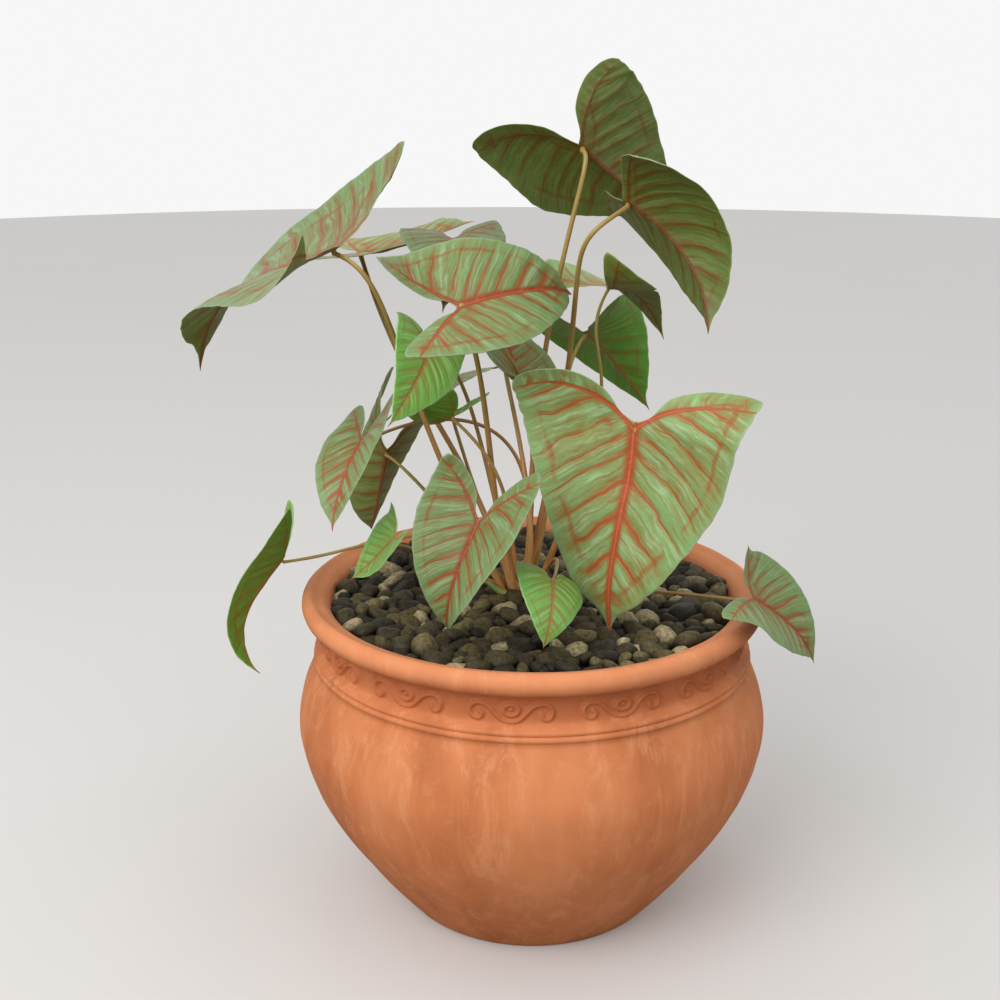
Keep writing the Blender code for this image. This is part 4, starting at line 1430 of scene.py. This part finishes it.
@dataclass
class Stalk:
    """A leaf's stalk: a fleshy cubic curve that sheathes the crown and swells a little where it
    meets the blade."""

    leaf: Leaf
    skin: bpy.types.Material
    crown: tuple = ((6.4, 6), (13.0, 13))       # rings on the crown: radius, and number of stalks
    crown_top: tuple = ((0, 212), (12, 210), (17.5, 206))
    blade_thickness: float = 1.0                # of the CAD blade
    foot_swell: tuple = (0.35, 9.0)             # share of the radius, and how far up it reaches
    blade_swell: tuple = (0.25, 4.0)            # and at the blade
    flatness: float = 0.12                      # on its upper side
    rings: int = 72
    sides: int = 16

    def foot(self) -> Array:
        """Find the stalk's place on the crown: 0 is the middle, then come the two rings.

        Returns:
            The point where the stalk stands.
        """
        place, radius, angle = self.leaf.foot, 0.0, 0.0
        for ring_radius, count in self.crown:
            if place < 1:
                break
            radius, angle = ring_radius, math.tau * (place - 1) / count
            place -= count
        x, y = CROWN_AXIS
        return np.array([x + radius * math.cos(angle), y + radius * math.sin(angle),
                         np.interp(radius, *zip(*self.crown_top))])

    def path(self) -> Array:
        """Draw the middle line: the CAD stalk's cubic, drawn on at both ends.

        Returns:
            Its points from the crown to the blade.
        """
        leaf = self.leaf
        foot = self.foot() + (0, 0, 0.75 * leaf.stalk[1] + GAP)
        up = leaf_axes(leaf)[2]
        end = np.array(leaf.at) - up * (self.blade_thickness / 2 + GAP + leaf.stalk[0])
        t = np.linspace(0, 1, self.rings - 2)[:, None]
        cubic = ((1 - t)**3 * foot + 3 * (1 - t)**2 * t * (foot + leaf.rise)
                 + 3 * (1 - t) * t**2 * (end + leaf.meet) + t**3 * end)
        below = cubic[0] + (cubic[0] - cubic[1]) * 0.4 - (0, 0, 2.5)
        return np.concatenate([[below], cubic, [np.array(leaf.at) - up * 0.1]])

    def build(self) -> None:
        """Make the stalk: a ring of points round each place of its path. The radius goes from the
        foot's to the blade's with the 0.6th power of the way, and swells at both ends; the ring is
        a little flatter on its upper side."""
        path = self.path()
        span = path[-1] - path[0]
        level = np.array([-span[1], span[0], 0.0])
        if np.linalg.norm(level) < 5:
            level = np.array([1.0, 0.0, 0.0])
        reach = np.concatenate([[0], np.cumsum(np.linalg.norm(np.diff(path, axis=0), axis=1))])
        t = reach / reach[-1]
        blade_end, foot = self.leaf.stalk
        swell = 1 + sum(share * np.exp(-(far / length) ** 2) for (share, length), far in (
            (self.foot_swell, reach), (self.blade_swell, reach[-1] - reach)))
        radius = (foot + (blade_end - foot) * t**0.6) * swell
        radius = radius + 0.06 * waves(path, 30, self.leaf.foot)
        n, turn = self.sides, full_turn(self.sides)
        shape = 1 - self.flatness * np.clip(np.sin(turn), 0, 1) ** 3
        points, faces = sweep(path, level, radius, shape)
        fibres, stretch = 3, 14     # fibres run three to a radian and fade over 14 mm
        fields = {"along": [*np.repeat(t, n), 0, 1],
                  "around": [*np.tile(fibres * np.abs(turn - math.pi), len(path)), 0, 0],
                  "reach": [*np.repeat(reach / stretch, n), 0, reach[-1] / stretch]}
        add_piece(f"stalk_{self.leaf.name}", points, faces, [self.skin],
                  f"leaf_{self.leaf.name}_stalk", fields)


@dataclass
class Sheath:
    """The young shoot that leans out of the crown: a tube that closes to a point."""

    route: tuple = ((-13.5, -5.2, 210.4), (-18.5, -5.4, 213.2), (-24, -5.2, 216.8),
                    (-29, -4.8, 221))
    radii: tuple = (2.3, 0.8)
    point: float = 0.4          # how far the tip stands out
    rings: int = 28
    sides: int = 18

    def build(self) -> None:
        """Make the sheath: its radius falls from the foot to the tip along a quarter ellipse."""
        t = np.linspace(0, 1, self.rings)
        path = smooth_curve(self.route, t)
        foot, tip = self.radii
        radius = tip + (foot - tip) * np.sqrt(np.clip(1 - t**2, 0, 1))
        side = np.cross(np.gradient(path, axis=0), (0, 0, 1.0))
        points, faces = sweep(path, side, radius, np.ones(self.sides))
        end = path[-1] - path[-2]
        points[-1] += self.point * end / np.linalg.norm(end)
        add_piece("sheath", points, faces, [YoungSheath().make()], "basal_sheath",
                  {"along": [*np.repeat(t, self.sides), 0, 1]})


# ---------------------------------------------------------------- studio

@dataclass
class Studio:
    """A pale floor, soft lights and the camera, in metres."""

    floor_radius: float = 4.0
    aim: tuple = (-0.0209, 0.0, 0.2756)
    distance: float = 1.0
    height_angle: float = 17.3      # degrees the camera looks down
    lens: float = 55.8              # mm
    sensor: float = 36.0            # mm
    side_strength: float = 0.38     # of the even light, from the sides and below
    sky_strength: float = 0.95      # and from above
    backdrop: float = 0.93          # what the camera sees behind the plant
    lights: tuple = (("key_light", (-1.05, -1.4, 1.45), 1.6, 29.0),     # place, size and watts
                     ("fill_light", (1.3, -1.1, 0.7), 1.2, 2.0))

    def build(self) -> None:
        """Make the floor, the world, the lights and the camera."""
        self.build_floor()
        self.build_world()
        for name, place, size, power in self.lights:
            self.build_light(name, place, size, power)
        self.build_camera()

    def build_floor(self) -> None:
        """Make a round floor under the pot."""
        sides = 96
        points = turn_round(np.array([(self.floor_radius / MM, 0.0)]), sides)
        points = np.concatenate([[(0, 0, 0)], points])
        floor = add_object("studio_floor", points, [fan(0, 1 + np.arange(sides))],
                           [PaleFloor().make()])

    def build_world(self) -> None:
        """Light the scene evenly, and show a pale backdrop to camera, glossy and transmitted
        rays."""
        world = bpy.data.worlds.new("studio_light")
        world.use_nodes = True
        tree = world.node_tree
        camera, glossy, through = (add_node(tree, "LightPath", out=f"Is {kind} Ray")
                                   for kind in ("Camera", "Glossy", "Transmission"))
        seen = add_node(tree, "Math", {0: camera, 1: glossy}, operation="MAXIMUM")
        seen = add_node(tree, "Math", {0: seen, 1: through}, operation="MAXIMUM")
        way = add_node(tree, "TexCoord", out="Generated")
        height = add_node(tree, "SeparateXYZ", {0: way}, out="Z")
        even = add_node(tree, "MapRange", {"Value": height, "To Min": self.side_strength,
                                           "To Max": self.sky_strength})
        strength = add_node(tree, "MapRange", {"Value": seen, "To Min": even,
                                               "To Max": self.backdrop})
        fill_inputs(tree, tree.nodes["Background"], {"Color": "#FFFFFF", "Strength": strength})
        bpy.context.scene.world = world

    def build_light(self, name: str, place: tuple, size: float, power: float) -> None:
        """Hang a square soft light that faces the plant.

        Args:
            name: The light's name.
            place: Where it hangs.
            size: Length of its side.
            power: Watts.
        """
        lamp = bpy.data.lights.new(name, "AREA")
        lamp.size, lamp.energy = size, power
        self.face(bpy.data.objects.new(name, lamp), Vector(place))

    def build_camera(self) -> None:
        """Stand the camera in front of the plant, looking a little down."""
        camera = bpy.data.cameras.new("camera")
        camera.lens, camera.sensor_width = self.lens, self.sensor
        angle = math.radians(self.height_angle)
        place = Vector(self.aim) + self.distance * Vector((0, -math.cos(angle), math.sin(angle)))
        bpy.context.scene.camera = self.face(bpy.data.objects.new("camera", camera), place)

    def face(self, thing: bpy.types.Object, place: Vector) -> bpy.types.Object:
        """Put a light or camera at a place, facing the aim.

        Args:
            thing: The light or camera.
            place: Where it stands.

        Returns:
            The same light or camera.
        """
        thing.location = place
        thing.rotation_euler = (Vector(self.aim) - place).to_track_quat("-Z", "Y").to_euler()
        bpy.context.scene.collection.objects.link(thing)
        return thing


def main() -> None:
    """Build the pot, its filling and the leaves, then the studio."""
    logging.basicConfig(level=logging.INFO, format="%(name)s: %(message)s")
    pot = Pot()
    pot.build()
    Filling(pot).build()
    Sheath().build()
    skins = {look: [side.make() for side in look.value] for look in Look}
    ripe, slender = Petiole().make(), SLENDER_PETIOLE.make()
    for leaf in LEAVES:
        look = Look.YOUNG if leaf.name in YOUNG_LEAVES else Look.MATURE
        # tone with painted light and shade for each leaf, on top and underneath
        shade = LEAF_TONE_AND_PAINTED_LIGHT.get(leaf.name, 1.0)
        under = UNDER_PAINTED_LIGHT.get(leaf.name, shade)
        Blade(leaf, skins[look], REDDEST_LEAVES.get(leaf.name, USUAL_REDNESS), shade,
              under).build()
        Stalk(leaf, slender if leaf.name in SLENDER_STALKS else ripe).build()
    Studio().build()
    bpy.context.scene.view_settings.view_transform = "Standard"


if __name__ == "__main__":
    main()
